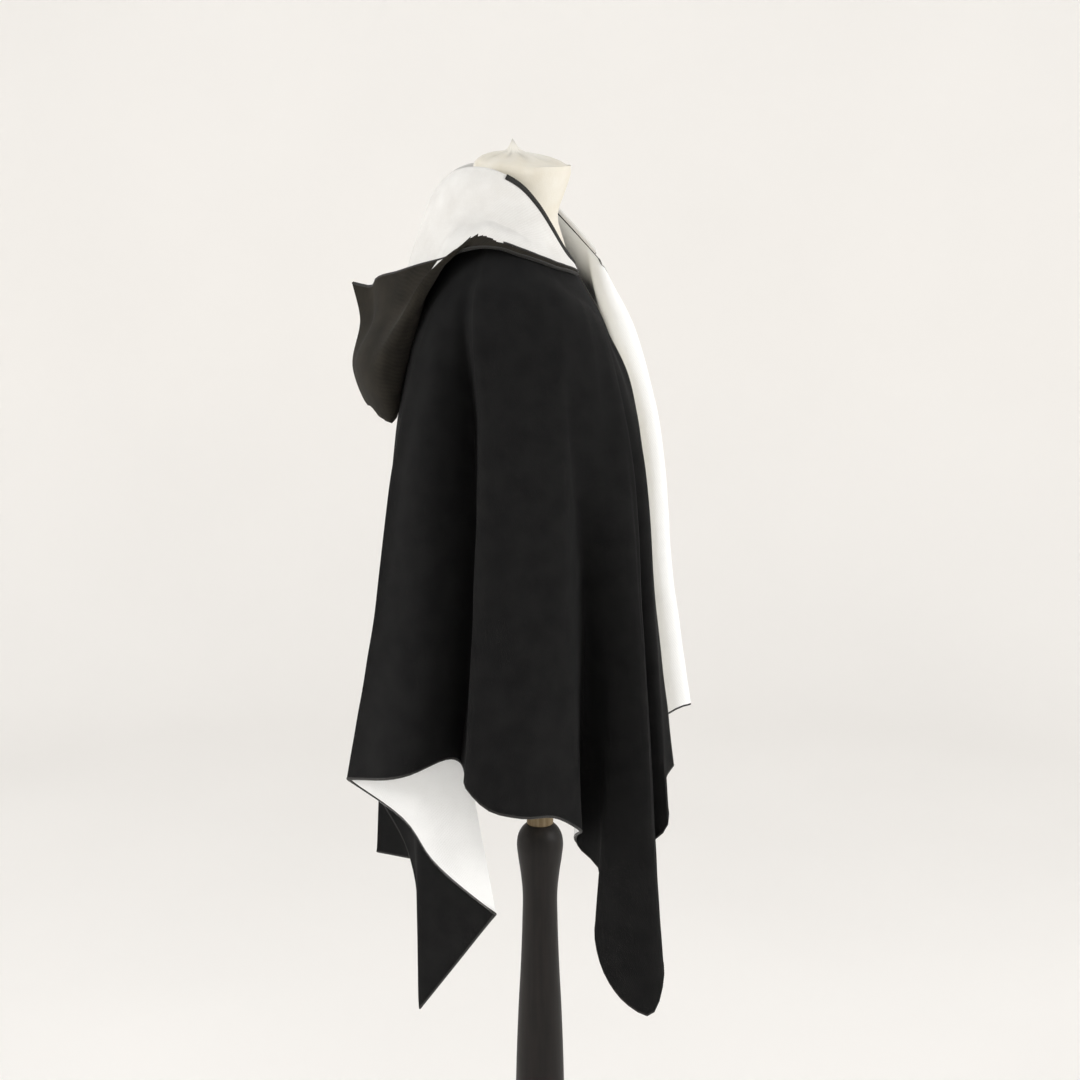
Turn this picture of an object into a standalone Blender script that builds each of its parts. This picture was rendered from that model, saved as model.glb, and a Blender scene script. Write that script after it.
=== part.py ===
"""Hooded reversible cape hanging on a limbless dress form, on a turned wooden stand.

The cape has two fronts and a back of double-faced fleece, joined by side seams that run down from
the neck, and two hood panels are sewn to its neck edge. Each sewn piece is a closed wall of cloth.

Every size below is in millimetres. A place is (out, fore, up): out runs from the stand's axis to
the wearer's right, fore towards the front, and up from the floor. The scene's X is minus out, its
Y is minus fore, and its origin is the middle of the base's underside.
"""

import itertools
import math

import bpy
import numpy as np
from mathutils import Vector
from mathutils.bvhtree import BVHTree

MM = 0.001

# Cloth
WALL = 2.8  # double-faced fleece
SEAM_GAP = 0.8  # between the two pieces of a seam
REST_GAP = 1.0  # between the cape and the form
HOOD_REST_GAP = 1.0  # between the hood and the cape
NECK_SEAM_GAP = 1.4  # more than at other seams, because this one curves
PUSHES = 7
CHEST_UP = 1230.0  # heights at which the fold tables give each fold's place
WAIST_UP = 1000.0
FOLD_SINK = 0.16  # how far a fold sags between neck and shoulder, as a share of its drop
WHOLE_SINK_FROM = 0.15  # the neck share from which it sags that far
LENGTH_CELLS = 20  # cells of a panel from neck to hem
CELL_ACROSS = 38.0  # the widest cell of a panel across its folds
HOOD_CELLS = 15  # cells of a hood panel from its front corner to the middle seam
HOOD_DEEP_CELLS = 22  # cells of a hood panel from the neck seam to the opening's edge

SMALLEST_LENGTH = 1e-9

# Stand
BASE_RADIUS = 170.0
BASE_HEIGHT = 34.0
POLE_FOOT_UP = BASE_HEIGHT + 0.3
POLE_TOP_UP = 715.0
COLLAR_RADIUS = 16.0
FORM_BOTTOM_UP = 778.0
TURNED_STEPS = 28

# Dress form
FORM_TOP_UP = 1497.0
FORM_SIDES = 28
CROWN_COLUMNS = ("share_of_neck", "lift")
CROWN = ((0.88, 5.5), (0.55, 11), (0.24, 15), (0.10, 20))
CROWN_TILT = 3.5  # the crown is higher at the back
PEAK_HEIGHT = 30.0  # the gathered tip of the cover, over the flat top of the neck
PEAK_BACK = 11.0  # the tip leans to the back

# The neck seam, from its front corner on the wearer's right to the middle of the back.
NECK_SEAM_COLUMNS = ("out", "fore", "up")
NECK_SEAM_RIGHT = (
    (48, 41, 1381),
    (57, 26, 1401),
    (64, 13, 1424),
    (68, -4, 1452),
    (70, -22, 1472),
    (67, -42, 1483),
    (52, -68, 1488),
    (30, -88, 1483),
    (0, -103, 1472),
)
NECK_SEAM_LEFT = (
    (36, 69, 1388),
    (46, 47, 1412),
    (58, 22, 1438),
    (67, -2, 1460),
    *NECK_SEAM_RIGHT[4:],
)

# One row for each fold of the hanging cloth, from the front edge round to the middle of the back.
# neck is the share of the neck seam at which the fold starts. Folds named ridge stand out, and
# folds named valley go in.
FOLD_COLUMNS = (
    "name",
    "neck",
    "shoulder_out",
    "shoulder_fore",
    "shoulder_up",
    "chest_out",
    "chest_fore",
    "waist_out",
    "waist_fore",
    "hem_out",
    "hem_fore",
    "hem_up",
)
FOLDS_RIGHT = (
    ("front_edge", 0.00, 66, 98, 1268, 80, 106, 90, 131, 95, 153, 820),
    ("edge_dip", 0.025, 75, 88, 1281, 94, 104, 112, 129, 120, 142, 811),
    ("edge_ridge", 0.05, 84, 70, 1322, 110, 100, 130, 125, 154, 144, 770),
    ("edge_valley", 0.10, 98, 62, 1333, 130, 84, 124, 88, 104, 72, 700),
    ("corner_front", 0.165, 114, 58, 1342, 154, 91, 184, 113, 192, 140, 605),
    ("front_corner", 0.19, 122, 54, 1345, 162, 84, 192, 109, 200, 121, 559),
    ("corner_tip", 0.207, 126, 51, 1347, 166, 78, 193, 103, 197, 100, 570),
    ("corner_hem", 0.225, 131, 48, 1349, 170, 71, 192, 94, 192, 78, 596),
    ("corner_side", 0.243, 136, 45, 1351, 174, 65, 189, 84, 184, 63, 644),
    ("corner_turn", 0.26, 140, 42, 1352, 178, 58, 184, 74, 176, 67, 688),
    ("corner_back", 0.295, 146, 35, 1356, 184, 48, 174, 62, 158, 67, 720),
    ("corner_valley", 0.33, 152, 28, 1360, 190, 38, 164, 52, 138, 48, 733),
    ("side_ridge_front", 0.40, 163, 10, 1368, 206, 20, 236, 28, 228, 40, 793),
    ("front_dip", 0.44, 168, -2, 1372, 215, 2, 250, 6, 262, 14, 818),
    ("side_ridge", 0.49, 172, -20, 1375, 222, -20, 260, -22, 290, -19, 827),
    ("side_turn", 0.54, 174, -44, 1375, 223, -44, 261, -48, 294, -54, 837),
    ("side_ridge_back", 0.59, 172, -65, 1372, 214, -63, 250, -71, 286, -78, 859),
    ("side_seam", 0.612, 166, -70, 1371, 194, -64, 224, -69, 246, -80, 861),
    ("side_valley", 0.635, 158, -76, 1370, 168, -70, 192, -72, 204, -87, 860),
    ("back_rise", 0.66, 155, -86, 1368, 184, -92, 216, -98, 234, -102, 874),
    ("back_ridge", 0.69, 150, -97, 1364, 192, -115, 234, -126, 262, -139, 866),
    ("back_turn", 0.74, 140, -114, 1352, 158, -149, 186, -184, 188, -213, 835),
    ("tuck_start", 0.757, 133, -119, 1348, 147, -151, 184, -162, 193, -152, 791),
    ("tuck", 0.778, 125, -124, 1344, 137, -152, 179, -137, 200, -119, 744),
    ("tuck_turn", 0.815, 108, -130, 1338, 118, -153, 166, -108, 200, -50, 680),
    ("back_corner", 0.86, 86, -133, 1336, 92, -154, 124, -142, 152, -138, 545),
    ("middle_valley", 0.91, 60, -135, 1335, 62, -156, 80, -158, 104, -151, 717),
    ("middle_ridge", 0.95, 32, -137, 1335, 32, -158, 38, -184, 40, -204, 800),
)
FOLDS_LEFT = (
    ("front_edge", 0.00, 46, 95, 1331, 51, 128, 63, 156, 74, 179, 843),
    ("edge_turn", 0.012, 38, 99, 1331, 43, 132, 55, 160, 65, 183, 844),
    ("edge_fold", 0.024, 34, 91, 1332, 38, 124, 49, 152, 59, 175, 844),
    ("edge_ridge", 0.06, 42, 72, 1336, 52, 101, 64, 124, 77, 140, 814),
    ("edge_valley", 0.11, 80, 72, 1338, 94, 90, 106, 100, 112, 98, 712),
    ("front_corner", 0.19, 115, 58, 1345, 154, 86, 184, 112, 196, 124, 566),
    ("corner_turn", 0.26, 138, 42, 1352, 176, 58, 188, 72, 182, 66, 650),
    ("corner_valley", 0.33, 152, 26, 1360, 194, 34, 170, 44, 150, 44, 742),
    ("side_ridge_front", 0.41, 164, 6, 1368, 206, 16, 236, 26, 232, 34, 790),
    ("side_ridge", 0.49, 172, -18, 1375, 218, -28, 256, -30, 284, -34, 828),
    ("side_ridge_back", 0.56, 172, -44, 1374, 212, -64, 246, -78, 272, -92, 856),
    ("side_seam", 0.62, 164, -64, 1370, 178, -92, 188, -104, 204, -112, 856),
    ("back_ridge", 0.68, 154, -86, 1364, 186, -118, 224, -138, 244, -168, 834),
    ("back_turn", 0.74, 140, -108, 1352, 150, -150, 176, -191, 176, -233, 789),
    ("corner_fold", 0.78, 126, -120, 1344, 136, -154, 156, -186, 150, -193, 690),
    ("back_corner", 0.82, 108, -129, 1339, 118, -154, 134, -184, 128, -207, 629),
    ("tuck_turn", 0.87, 84, -133, 1336, 90, -155, 102, -160, 104, -165, 630),
    ("middle_valley", 0.92, 58, -135, 1335, 60, -157, 68, -164, 70, -162, 740),
    ("middle_ridge", 0.96, 32, -137, 1335, 32, -158, 36, -182, 36, -202, 804),
)
# The cloth creases down these folds.
SHARP_FOLDS = ("back_turn", "tuck_turn", "back_corner")
MIDDLE_BACK = ("middle_back", 1.00, 0, -138, 1335, 0, -159, 0, -184, 0, -198, 812)

# The hood lies turned over: from the neck seam it falls outwards, and its edge rests on the cape.
COLLAR_COLUMNS = ("neck", "saddle_out", "saddle_fore", "saddle_up", "rim_out", "rim_fore", "rim_up")
COLLAR_ROWS = (
    (0.03, 60, 39, 1382, 71, 39, 1378),
    (0.116, 77, 26, 1393, 98, 22, 1385),
    (0.228, 89, 8, 1410, 120, 2, 1395),
    (0.364, 97, -14, 1428, 130, -22, 1406),
    (0.476, 99, -38, 1438, 132, -46, 1414),
    (0.564, 94, -62, 1441, 127, -70, 1414),
)
# Behind the shoulders it goes down inside the pouch, turns and comes up outside as the belly.
POUCH_COLUMNS = (
    "neck",
    "saddle_out",
    "saddle_fore",
    "saddle_up",
    "deep_out",
    "deep_fore",
    "deep_up",
    "bottom_out",
    "bottom_fore",
    "bottom_up",
    "belly_out",
    "belly_fore",
    "belly_up",
    "rim_out",
    "rim_fore",
    "rim_up",
)
POUCH_ROWS = (
    (0.61, 90, -76, 1440, 112, -92, 1416, 124, -96, 1404, 127, -94, 1410, 122, -88, 1410),
    (0.66, 84, -88, 1438, 112, -112, 1398, 132, -120, 1372, 138, -122, 1384, 116, -104, 1404),
    (0.75, 66, -108, 1432, 100, -136, 1340, 130, -148, 1282, 142, -156, 1322, 102, -130, 1396),
    (0.84, 46, -124, 1426, 84, -150, 1310, 122, -162, 1226, 136, -180, 1284, 80, -156, 1386),
    (0.92, 24, -133, 1422, 46, -163, 1314, 80, -184, 1232, 84, -202, 1281, 44, -182, 1375),
    (0.96, 12, -136, 1421, 22, -165, 1316, 38, -195, 1231, 40, -208, 1275, 20, -190, 1364),
    (1.00, 0, -137, 1420, 0, -166, 1320, 0, -200, 1229, 0, -214, 1267, 0, -213, 1366),
)
# It stands up a little from the neck seam and rolls over.
ROLL_RISE = 3.0
ROLL_RADIUS = 4.5
ROLL_LENGTH = 18.0
ROLL_CELLS = 4
WHOLE_ROLL_FROM = 60.0  # a line of the hood shorter than this has a smaller roll
THROAT_SHARE = 0.6  # the belly draws in below the rim
THROAT_IN = 9.0
SWELL_SHARE = 0.35  # the hood swells over its edge on the shoulder
SWELL_RISE = 6.0
LEFT_SAG = 16.0  # the pouch's edge hangs lower on the wearer's left

# The form's sections. squareness is the power of the superellipse.
SECTION_COLUMNS = ("up", "centre_fore", "half_width", "half_depth", "squareness")
FORM_SECTIONS = (
    (778, -4, 130, 92, 2.2),
    (786, -5, 140, 100, 2.2),
    (812, -6, 144, 103, 2.2),
    (880, -5, 131, 94, 2.2),
    (985, -2, 112, 80, 2.2),
    (1080, 0, 124, 90, 2.2),
    (1180, 0, 142, 100, 2.2),
    (1250, -4, 150, 98, 2.2),
    (1310, -10, 160, 88, 2.3),
    (1345, -15, 168, 76, 2.4),
    (1366, -19, 160, 67, 2.4),
    (1384, -22, 132, 60, 2.3),
    (1400, -25, 96, 56, 2.2),
    (1416, -28, 70, 54, 2.1),
    (1440, -30, 58, 50, 2.0),
    (1470, -25, 56, 54, 2.0),
    (1490, -21, 58, 56, 2.0),
    (1497, -20, 57, 55, 2.0),
)

POLE_PROFILE_COLUMNS = ("up", "radius")
POLE_PROFILE = (
    (POLE_TOP_UP, 16.5),
    (710, 21.5),
    (702, 26),
    (690, 28),
    (676, 26.8),
    (655, 23.8),
    (630, 21.3),
    (590, 21.6),
    (540, 23.3),
    (470, 26.8),
    (378, 29.8),
    (300, 30.3),
    (220, 28),
    (150, 23),
    (110, 21),
    (90, 28),
    (70, 31),
    (52, 28),
    (POLE_FOOT_UP, 24.5),
)
BASE_PROFILE = (
    (BASE_HEIGHT, 60),
    (31, 100),
    (27, 145),
    (22, 158),
    (18, 166),
    (10, BASE_RADIUS),
    (2, BASE_RADIUS),
    (0, BASE_RADIUS - 2),
)


def clear_scene():
    """Remove everything that the opened file holds."""
    for obj in list(bpy.data.objects):
        bpy.data.objects.remove(obj)


def material(name, colour, roughness, metallic=0.0):
    """A Principled material. colour is linear red, green and blue."""
    made = bpy.data.materials.new(name)
    made.use_nodes = True
    shader = made.node_tree.nodes["Principled BSDF"]
    shader.inputs["Base Color"].default_value = (*colour, 1.0)
    shader.inputs["Roughness"].default_value = roughness
    shader.inputs["Metallic"].default_value = metallic
    return made


def scene_points(places):
    """Scene coordinates in metres of an array of (out, fore, up) places."""
    return np.asarray(places, float) * (-MM, -MM, MM)


def mesh_object(name, points, faces, finish):
    """A smooth-shaded mesh object from points in metres."""
    mesh = bpy.data.meshes.new(name)
    mesh.from_pydata([tuple(p) for p in points], [], faces)
    mesh.materials.append(finish)
    mesh.shade_smooth()
    mesh.validate()
    obj = bpy.data.objects.new(name, mesh)
    bpy.context.scene.collection.objects.link(obj)
    return obj


def smooth_through(knots, marks, at):
    """Values at the marks `at` of a smooth curve through the knots, whose marks rise."""
    knots = np.asarray(knots, float)
    marks = np.asarray(marks, float)
    at = np.asarray(at, float)
    steps = np.diff(marks)
    slopes = np.diff(knots, axis=0) / steps[:, None]
    tangents = np.empty_like(knots)
    tangents[0] = slopes[0]
    tangents[-1] = slopes[-1]
    before = steps[1:, None]
    after = steps[:-1, None]
    tangents[1:-1] = (slopes[:-1] * before + slopes[1:] * after) / (before + after)
    cell = np.clip(np.searchsorted(marks, at, side="right") - 1, 0, len(steps) - 1)
    step = steps[cell][:, None]
    t = ((at - marks[cell]) / steps[cell])[:, None]
    return (
        knots[cell] * (2 * t**3 - 3 * t**2 + 1)
        + tangents[cell] * step * (t**3 - 2 * t**2 + t)
        + knots[cell + 1] * (3 * t**2 - 2 * t**3)
        + tangents[cell + 1] * step * (t**3 - t**2)
    )


def lengths_along(points):
    """The distance of each point from the first, along the line of points."""
    steps = np.linalg.norm(np.diff(points, axis=0), axis=1)
    return np.concatenate([[0.0], np.cumsum(steps)])


def spaced_curve(knots, cells, roll_length=0.0):
    """Points on the smooth curve through the knots, at even distances after the roll's short cells."""
    knots = np.asarray(knots, float)
    marks = lengths_along(knots)
    fine = smooth_through(knots, marks, np.linspace(0, marks[-1], 30 * len(knots)))
    along = lengths_along(fine)
    roll_cells = ROLL_CELLS if roll_length else 0
    roll = np.linspace(0, roll_length, roll_cells, endpoint=False)
    at = np.concatenate([roll, np.linspace(roll_length, along[-1], cells - roll_cells + 1)])
    return np.stack([np.interp(at, along, fine[:, axis]) for axis in range(3)], axis=1)


# ---------------------------------------------------------------------------------------- form


def form_section(up):
    """(centre_fore, half_width, half_depth, squareness) at the given heights."""
    table = np.asarray(FORM_SECTIONS, float)
    return smooth_through(table[:, 1:], table[:, 0], np.clip(up, table[0, 0], table[-1, 0])).T


def form_level(places):
    """Under 1 inside the form's section at that height, and over 1 outside it."""
    out, fore, up = places.T
    centre, width, depth, power = form_section(up)
    return ((np.abs(out) / width) ** power + (np.abs(fore - centre) / depth) ** power) ** (1 / power)


def kept_off_form(places, clearance):
    """The places, each moved out until it is `clearance` from the form's surface."""
    places = places.copy()
    for _ in range(6):
        level = form_level(places)
        slope = np.stack(
            [form_level(places + shift) - form_level(places - shift) for shift in np.eye(3)], axis=1
        ) / 2
        steepness = np.maximum(np.linalg.norm(slope, axis=1), 1e-6)
        short = np.clip(clearance - (level - 1) / steepness, 0, 20)
        short[places[:, 2] > FORM_TOP_UP] = 0
        places += slope * (short / steepness)[:, None]
    return places


def make_form(finish):
    """The padded form under its jersey cover, with the cover gathered to a tip on the neck."""
    table = np.asarray(FORM_SECTIONS, float)
    levels = []
    for low, high in zip(table[:-1, 0], table[1:, 0]):
        parts = max(1, round((high - low) / 48))
        levels += list(np.linspace(low, high, parts, endpoint=False))
    levels.append(FORM_TOP_UP)
    turns = np.linspace(0, 2 * math.pi, FORM_SIDES, endpoint=False)
    rings = []
    for up in levels:
        centre, width, depth, power = form_section(np.array([up]))[:, 0]
        bend = 2 / power
        out = width * np.sign(np.sin(turns)) * np.abs(np.sin(turns)) ** bend
        fore = centre + depth * np.sign(np.cos(turns)) * np.abs(np.cos(turns)) ** bend
        rings.append(np.stack([out, fore, np.full(FORM_SIDES, up)], axis=1))
    centre, width, depth, _ = form_section(np.array([FORM_TOP_UP]))[:, 0]
    for share, lift in CROWN:
        out = share * width * np.sin(turns)
        fore = centre - PEAK_BACK * (1 - share) + share * depth * np.cos(turns)
        up = FORM_TOP_UP + lift - CROWN_TILT * share * np.cos(turns)
        rings.append(np.stack([out, fore, up], axis=1))
    tip = np.array([[0, centre - PEAK_BACK, FORM_TOP_UP + PEAK_HEIGHT]])
    underside = np.array([[0, table[0, 1], FORM_BOTTOM_UP]])
    faces = []
    for ring in range(len(rings) - 1):
        for side in range(FORM_SIDES):
            after = (side + 1) % FORM_SIDES
            a, b = ring * FORM_SIDES + side, ring * FORM_SIDES + after
            faces.append((a, a + FORM_SIDES, b + FORM_SIDES, b))
    last = (len(rings) - 1) * FORM_SIDES
    top, bottom = len(rings) * FORM_SIDES, len(rings) * FORM_SIDES + 1
    for side in range(FORM_SIDES):
        after = (side + 1) % FORM_SIDES
        faces.append((last + side, top, last + after))
        faces.append((after, bottom, side))
    return mesh_object("form_body", scene_points(np.concatenate([*rings, tip, underside])), faces, finish)


# --------------------------------------------------------------------------------------- stand


def turned_piece(name, profile, finish):
    """A solid of revolution about the stand's axis. The profile runs from the top down."""
    mesh = bpy.data.meshes.new(name)
    rows = [(0.0, profile[0][0]), *((radius, up) for up, radius in profile), (0.0, profile[-1][0])]
    points = [(radius * MM, 0.0, up * MM) for radius, up in rows]
    mesh.from_pydata(points, [(i, i + 1) for i in range(len(points) - 1)], [])
    mesh.materials.append(finish)
    obj = bpy.data.objects.new(name, mesh)
    bpy.context.scene.collection.objects.link(obj)
    turning = obj.modifiers.new("Turning", "SCREW")
    turning.steps = turning.render_steps = TURNED_STEPS
    turning.use_merge_vertices = True
    turning.merge_threshold = 0.00001
    turning.use_smooth_shade = True
    return obj


def make_stand(wood, ferrule):
    """The base, the pole and the collar that carries the form."""
    turned_piece("stand_base", BASE_PROFILE, wood)
    turned_piece("stand_pole", POLE_PROFILE, wood)
    collar = ((FORM_BOTTOM_UP - 0.3, COLLAR_RADIUS), (POLE_TOP_UP + 0.3, COLLAR_RADIUS))
    turned_piece("stand_collar", collar, ferrule)


# --------------------------------------------------------------------------------------- cloth


def mirrored(places):
    return np.asarray(places, float) * (-1, 1, 1)


def neck_seam(rows, shares):
    """Places at the given shares of the length of one side's neck seam."""
    rows = np.asarray(rows, float)
    marks = lengths_along(rows)
    return smooth_through(rows, marks / marks[-1], shares)


def fold_line(row, seam_rows):
    """The line that one fold follows from the neck seam to the hem."""
    named = dict(zip(FOLD_COLUMNS, row))
    neck = neck_seam(seam_rows, [named["neck"]])[0]
    shoulder = np.array([named["shoulder_out"], named["shoulder_fore"], named["shoulder_up"]], float)
    chest = (named["chest_out"], named["chest_fore"], CHEST_UP)
    waist = (named["waist_out"], named["waist_fore"], WAIST_UP)
    hem = (named["hem_out"], named["hem_fore"], named["hem_up"])
    slope = neck + (shoulder - neck) * 0.5
    slope[2] -= FOLD_SINK * min(1.0, named["neck"] / WHOLE_SINK_FROM) * (neck[2] - shoulder[2])
    return spaced_curve([neck, slope, shoulder, chest, waist, hem], LENGTH_CELLS)


def cape_lines():
    """Every fold line, from the right front edge round the back to the left front edge."""
    right = [fold_line(row, NECK_SEAM_RIGHT) for row in FOLDS_RIGHT]
    middle = [fold_line(MIDDLE_BACK, NECK_SEAM_RIGHT)]
    left = [mirrored(fold_line(row, NECK_SEAM_LEFT)) for row in reversed(FOLDS_LEFT)]
    return np.array(right + middle + left)


def fold_marks(lines):
    """A mark for each fold line: the mean distance from the first, over the lower half."""
    lower = lines[:, LENGTH_CELLS // 2 :]
    steps = np.linalg.norm(np.diff(lower, axis=0), axis=2).mean(axis=1)
    return np.concatenate([[0.0], np.cumsum(steps)])


def surface_between(lines, marks, at):
    """The places of every fold line's points at the marks `at`, across the folds."""
    return np.stack([smooth_through(lines[:, j], marks, at) for j in range(lines.shape[1])], axis=1)


def cape_surface(lines, marks, sharp):
    """A grid through every fold line, and each fold line's row in it. It creases at the sharp ones."""
    cells = np.maximum(1, np.round(np.diff(marks) / CELL_ACROSS)).astype(int)
    rows = np.concatenate([[0], np.cumsum(cells)])
    spans = []
    for first, last in zip(sharp, sharp[1:]):
        at = [marks[first]]
        for line in range(first, last):
            at += list(np.linspace(marks[line], marks[line + 1], cells[line] + 1)[1:])
        span = surface_between(lines[first : last + 1], marks[first : last + 1], at)
        spans.append(span if first == 0 else span[1:])
    return np.concatenate(spans), rows


def unit(vectors):
    """The vectors, each at length 1."""
    return vectors / np.maximum(np.linalg.norm(vectors, axis=-1, keepdims=True), SMALLEST_LENGTH)


def outward(grid, seam_way):
    """Unit normals of a grid of places, whose rows run round the neck and whose columns leave it.

    The first column is the neck seam. There the walls of both its pieces stand in one upright
    surface, and seam_way is 1 for the piece above the seam and -1 for the one below it.
    """
    around = np.gradient(grid, axis=0)
    normals = np.cross(around, np.gradient(grid, axis=1))
    normals[:, 0] = np.cross(around[:, 0], (0, 0, seam_way))
    return unit(normals)


def wall_faces(rows, columns):
    """Triangles of a closed wall whose outer and inner grids follow each other."""
    inner = rows * columns
    faces = []
    for i in range(rows - 1):
        for j in range(columns - 1):
            a, b = i * columns + j, (i + 1) * columns + j
            faces += [(a, b + 1, a + 1), (a, b, b + 1)]
            faces += [(inner + a, inner + a + 1, inner + b + 1), (inner + a, inner + b + 1, inner + b)]
    rim = [i * columns for i in range(rows)]
    rim += [(rows - 1) * columns + j for j in range(1, columns)]
    rim += [i * columns + columns - 1 for i in range(rows - 2, -1, -1)]
    rim += list(range(columns - 2, 0, -1))
    for a, b in zip(rim, rim[1:] + rim[:1]):
        faces += [(a, inner + b, b), (a, inner + a, inner + b)]
    return faces


def cloth_piece(name, grid, normals, finish):
    """A closed wall of cloth about a grid of places."""
    outer = (grid + normals * WALL / 2).reshape(-1, 3)
    inner = (grid - normals * WALL / 2).reshape(-1, 3)
    faces = wall_faces(*grid.shape[:2])
    return mesh_object(name, scene_points(np.concatenate([outer, inner])), faces, finish)


def parted(grid, across, first_seam, last_seam):
    """The grid with its first and last rows drawn back from a seam by half its gap."""
    grid = grid.copy()
    if first_seam:
        grid[0] += across[0] * SEAM_GAP / 2
    if last_seam:
        grid[-1] -= across[-1] * SEAM_GAP / 2
    return grid


def make_cape(finish):
    """The two fronts and the back. Returns the places of the whole cape as one grid."""
    names = [row[0] for row in (*FOLDS_RIGHT, MIDDLE_BACK, *reversed(FOLDS_LEFT))]
    lines = cape_lines()
    sharp = [place for place, name in enumerate(names) if name in SHARP_FOLDS]
    grid, rows = cape_surface(lines, fold_marks(lines), [0, *sharp, len(lines) - 1])
    right_seam, left_seam = (rows[place] for place, name in enumerate(names) if name == "side_seam")
    clearance = REST_GAP + WALL / 2
    grid = kept_off_form(grid.reshape(-1, 3), clearance).reshape(grid.shape)
    normals = outward(grid, -1)
    across = unit(np.gradient(grid, axis=0))
    spans = (
        ("cape_front_right", 0, right_seam, False, True),
        ("cape_back", right_seam, left_seam, True, True),
        ("cape_front_left", left_seam, rows[-1], True, False),
    )
    for name, first, last, first_seam, last_seam in spans:
        span = slice(first, last + 1)
        cloth_piece(name, parted(grid[span], across[span], first_seam, last_seam), normals[span], finish)
    return grid


def hood_line(start, row, columns, sag):
    """The line of the hood's cloth from the neck seam to the edge of its opening.

    The pouch's edge hangs below its row by up to the sag.
    """
    named = dict(zip(columns, row))

    def spot(stem):
        return np.array([named[stem + "_out"], named[stem + "_fore"], named[stem + "_up"]], float)

    saddle, rim = spot("saddle"), spot("rim")
    away = (saddle - start) * (1, 1, 0)
    share = min(1.0, np.linalg.norm(rim - start) / WHOLE_ROLL_FROM)
    away *= share / np.linalg.norm(away)
    up = np.array([0, 0, share])
    rise = start + ROLL_RISE * up
    crest = start + ROLL_RADIUS * away + (ROLL_RISE + ROLL_RADIUS) * up
    fall = start + 2 * ROLL_RADIUS * away + ROLL_RISE * up
    knots = [start, rise, crest, fall, saddle]
    if "deep_out" in named:
        first = POUCH_ROWS[0][0]
        rim[2] -= sag * math.sin(math.pi * (named["neck"] - first) / (1 - first))
        belly = spot("belly")
        throat = belly + (rim - belly) * THROAT_SHARE
        inwards = (saddle - throat) * (1, 1, 0)
        throat += inwards / np.linalg.norm(inwards) * THROAT_IN
        knots += [spot("deep"), spot("bottom"), belly, throat]
    else:
        swell = rim + (saddle - rim) * SWELL_SHARE
        swell[2] += SWELL_RISE * share
        knots.append(swell)
    return spaced_curve([*knots, rim], HOOD_DEEP_CELLS, ROLL_LENGTH * share)


def hood_grid(seam_rows, sag):
    """One hood panel's grid of places, from its front corner to the middle seam."""
    lines = []
    shares = []
    for rows, columns in ((COLLAR_ROWS, COLLAR_COLUMNS), (POUCH_ROWS, POUCH_COLUMNS)):
        for row in rows:
            start = neck_seam(seam_rows, [row[0]])[0]
            start[2] += NECK_SEAM_GAP
            lines.append(hood_line(start, row, columns, sag))
            shares.append(row[0])
    lines = np.array(lines)
    return surface_between(lines, shares, np.linspace(shares[0], shares[-1], HOOD_CELLS + 1))


def kept_off_cape(grid, tree, clearance):
    """The grid, moved off the cape until each cell is `clearance` from the cape's middle surface."""
    moved = grid.copy()
    rows, columns = grid.shape[0] - 1, grid.shape[1] - 1
    shares = (0.0, 0.5, 1.0)
    for _ in range(PUSHES):
        push = np.zeros_like(moved)
        for i, j, a, b in itertools.product(range(rows), range(1, columns), shares, shares):
            weights = {(i, j): (1 - a) * (1 - b), (i + 1, j): a * (1 - b)}
            weights |= {(i, j + 1): (1 - a) * b, (i + 1, j + 1): a * b}
            place = sum(moved[corner] * weight for corner, weight in weights.items())
            near, normal, _, distance = tree.find_nearest(Vector(place))
            short = clearance * min(1.0, (j + b) / ROLL_CELLS) - (Vector(place) - near).dot(normal)
            if short <= 0 or distance > 4 * clearance:
                continue
            for corner, weight in weights.items():
                if weight and short > np.linalg.norm(push[corner]):
                    push[corner] = np.array(normal) * short
        moved += push
    return moved


def cape_tree(grid):
    """A search tree of the cape's middle surface, facing out."""
    rows, columns = grid.shape[:2]
    faces = []
    for i in range(rows - 1):
        for j in range(columns - 1):
            a, b = i * columns + j, (i + 1) * columns + j
            faces += [(a, b + 1, a + 1), (a, b, b + 1)]
    return BVHTree.FromPolygons([Vector(p) for p in grid.reshape(-1, 3)], faces)


def make_hood(cape_places, finish):
    """The right and left hood panels, which meet in the middle seam."""
    tree = cape_tree(cape_places)
    clearance = WALL + HOOD_REST_GAP
    for name, seam_rows, sag, flip in (
        ("hood_right", NECK_SEAM_RIGHT, 0.0, False),
        ("hood_left", NECK_SEAM_LEFT, LEFT_SAG, True),
    ):
        grid = hood_grid(seam_rows, sag)
        if flip:
            grid = mirrored(grid)[::-1]
        away = kept_off_cape(grid, tree, clearance)
        seam = 0 if flip else -1
        away[seam, :, 0] = 0
        normals = outward(away, 1)
        normals[seam, :, 0] = 0
        across = np.zeros_like(away)
        across[seam, :, 0] = -1
        cloth_piece(name, parted(away, across, flip, not flip), unit(normals), finish)


def main():
    clear_scene()
    fleece = material("Double-faced fleece", (0.012, 0.012, 0.013), 0.95)
    hood_fleece = material("Double-faced fleece, hood", (0.018, 0.017, 0.014), 0.95)
    jersey = material("Cotton jersey cover", (0.86, 0.82, 0.72), 0.9)
    wood = material("Stained beech", (0.014, 0.011, 0.009), 0.35)
    pale_wood = material("Bare beech", (0.62, 0.5, 0.36), 0.6)
    make_stand(wood, pale_wood)
    make_form(jersey)
    cape_places = make_cape(fleece)
    make_hood(cape_places, hood_fleece)


main()
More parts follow.
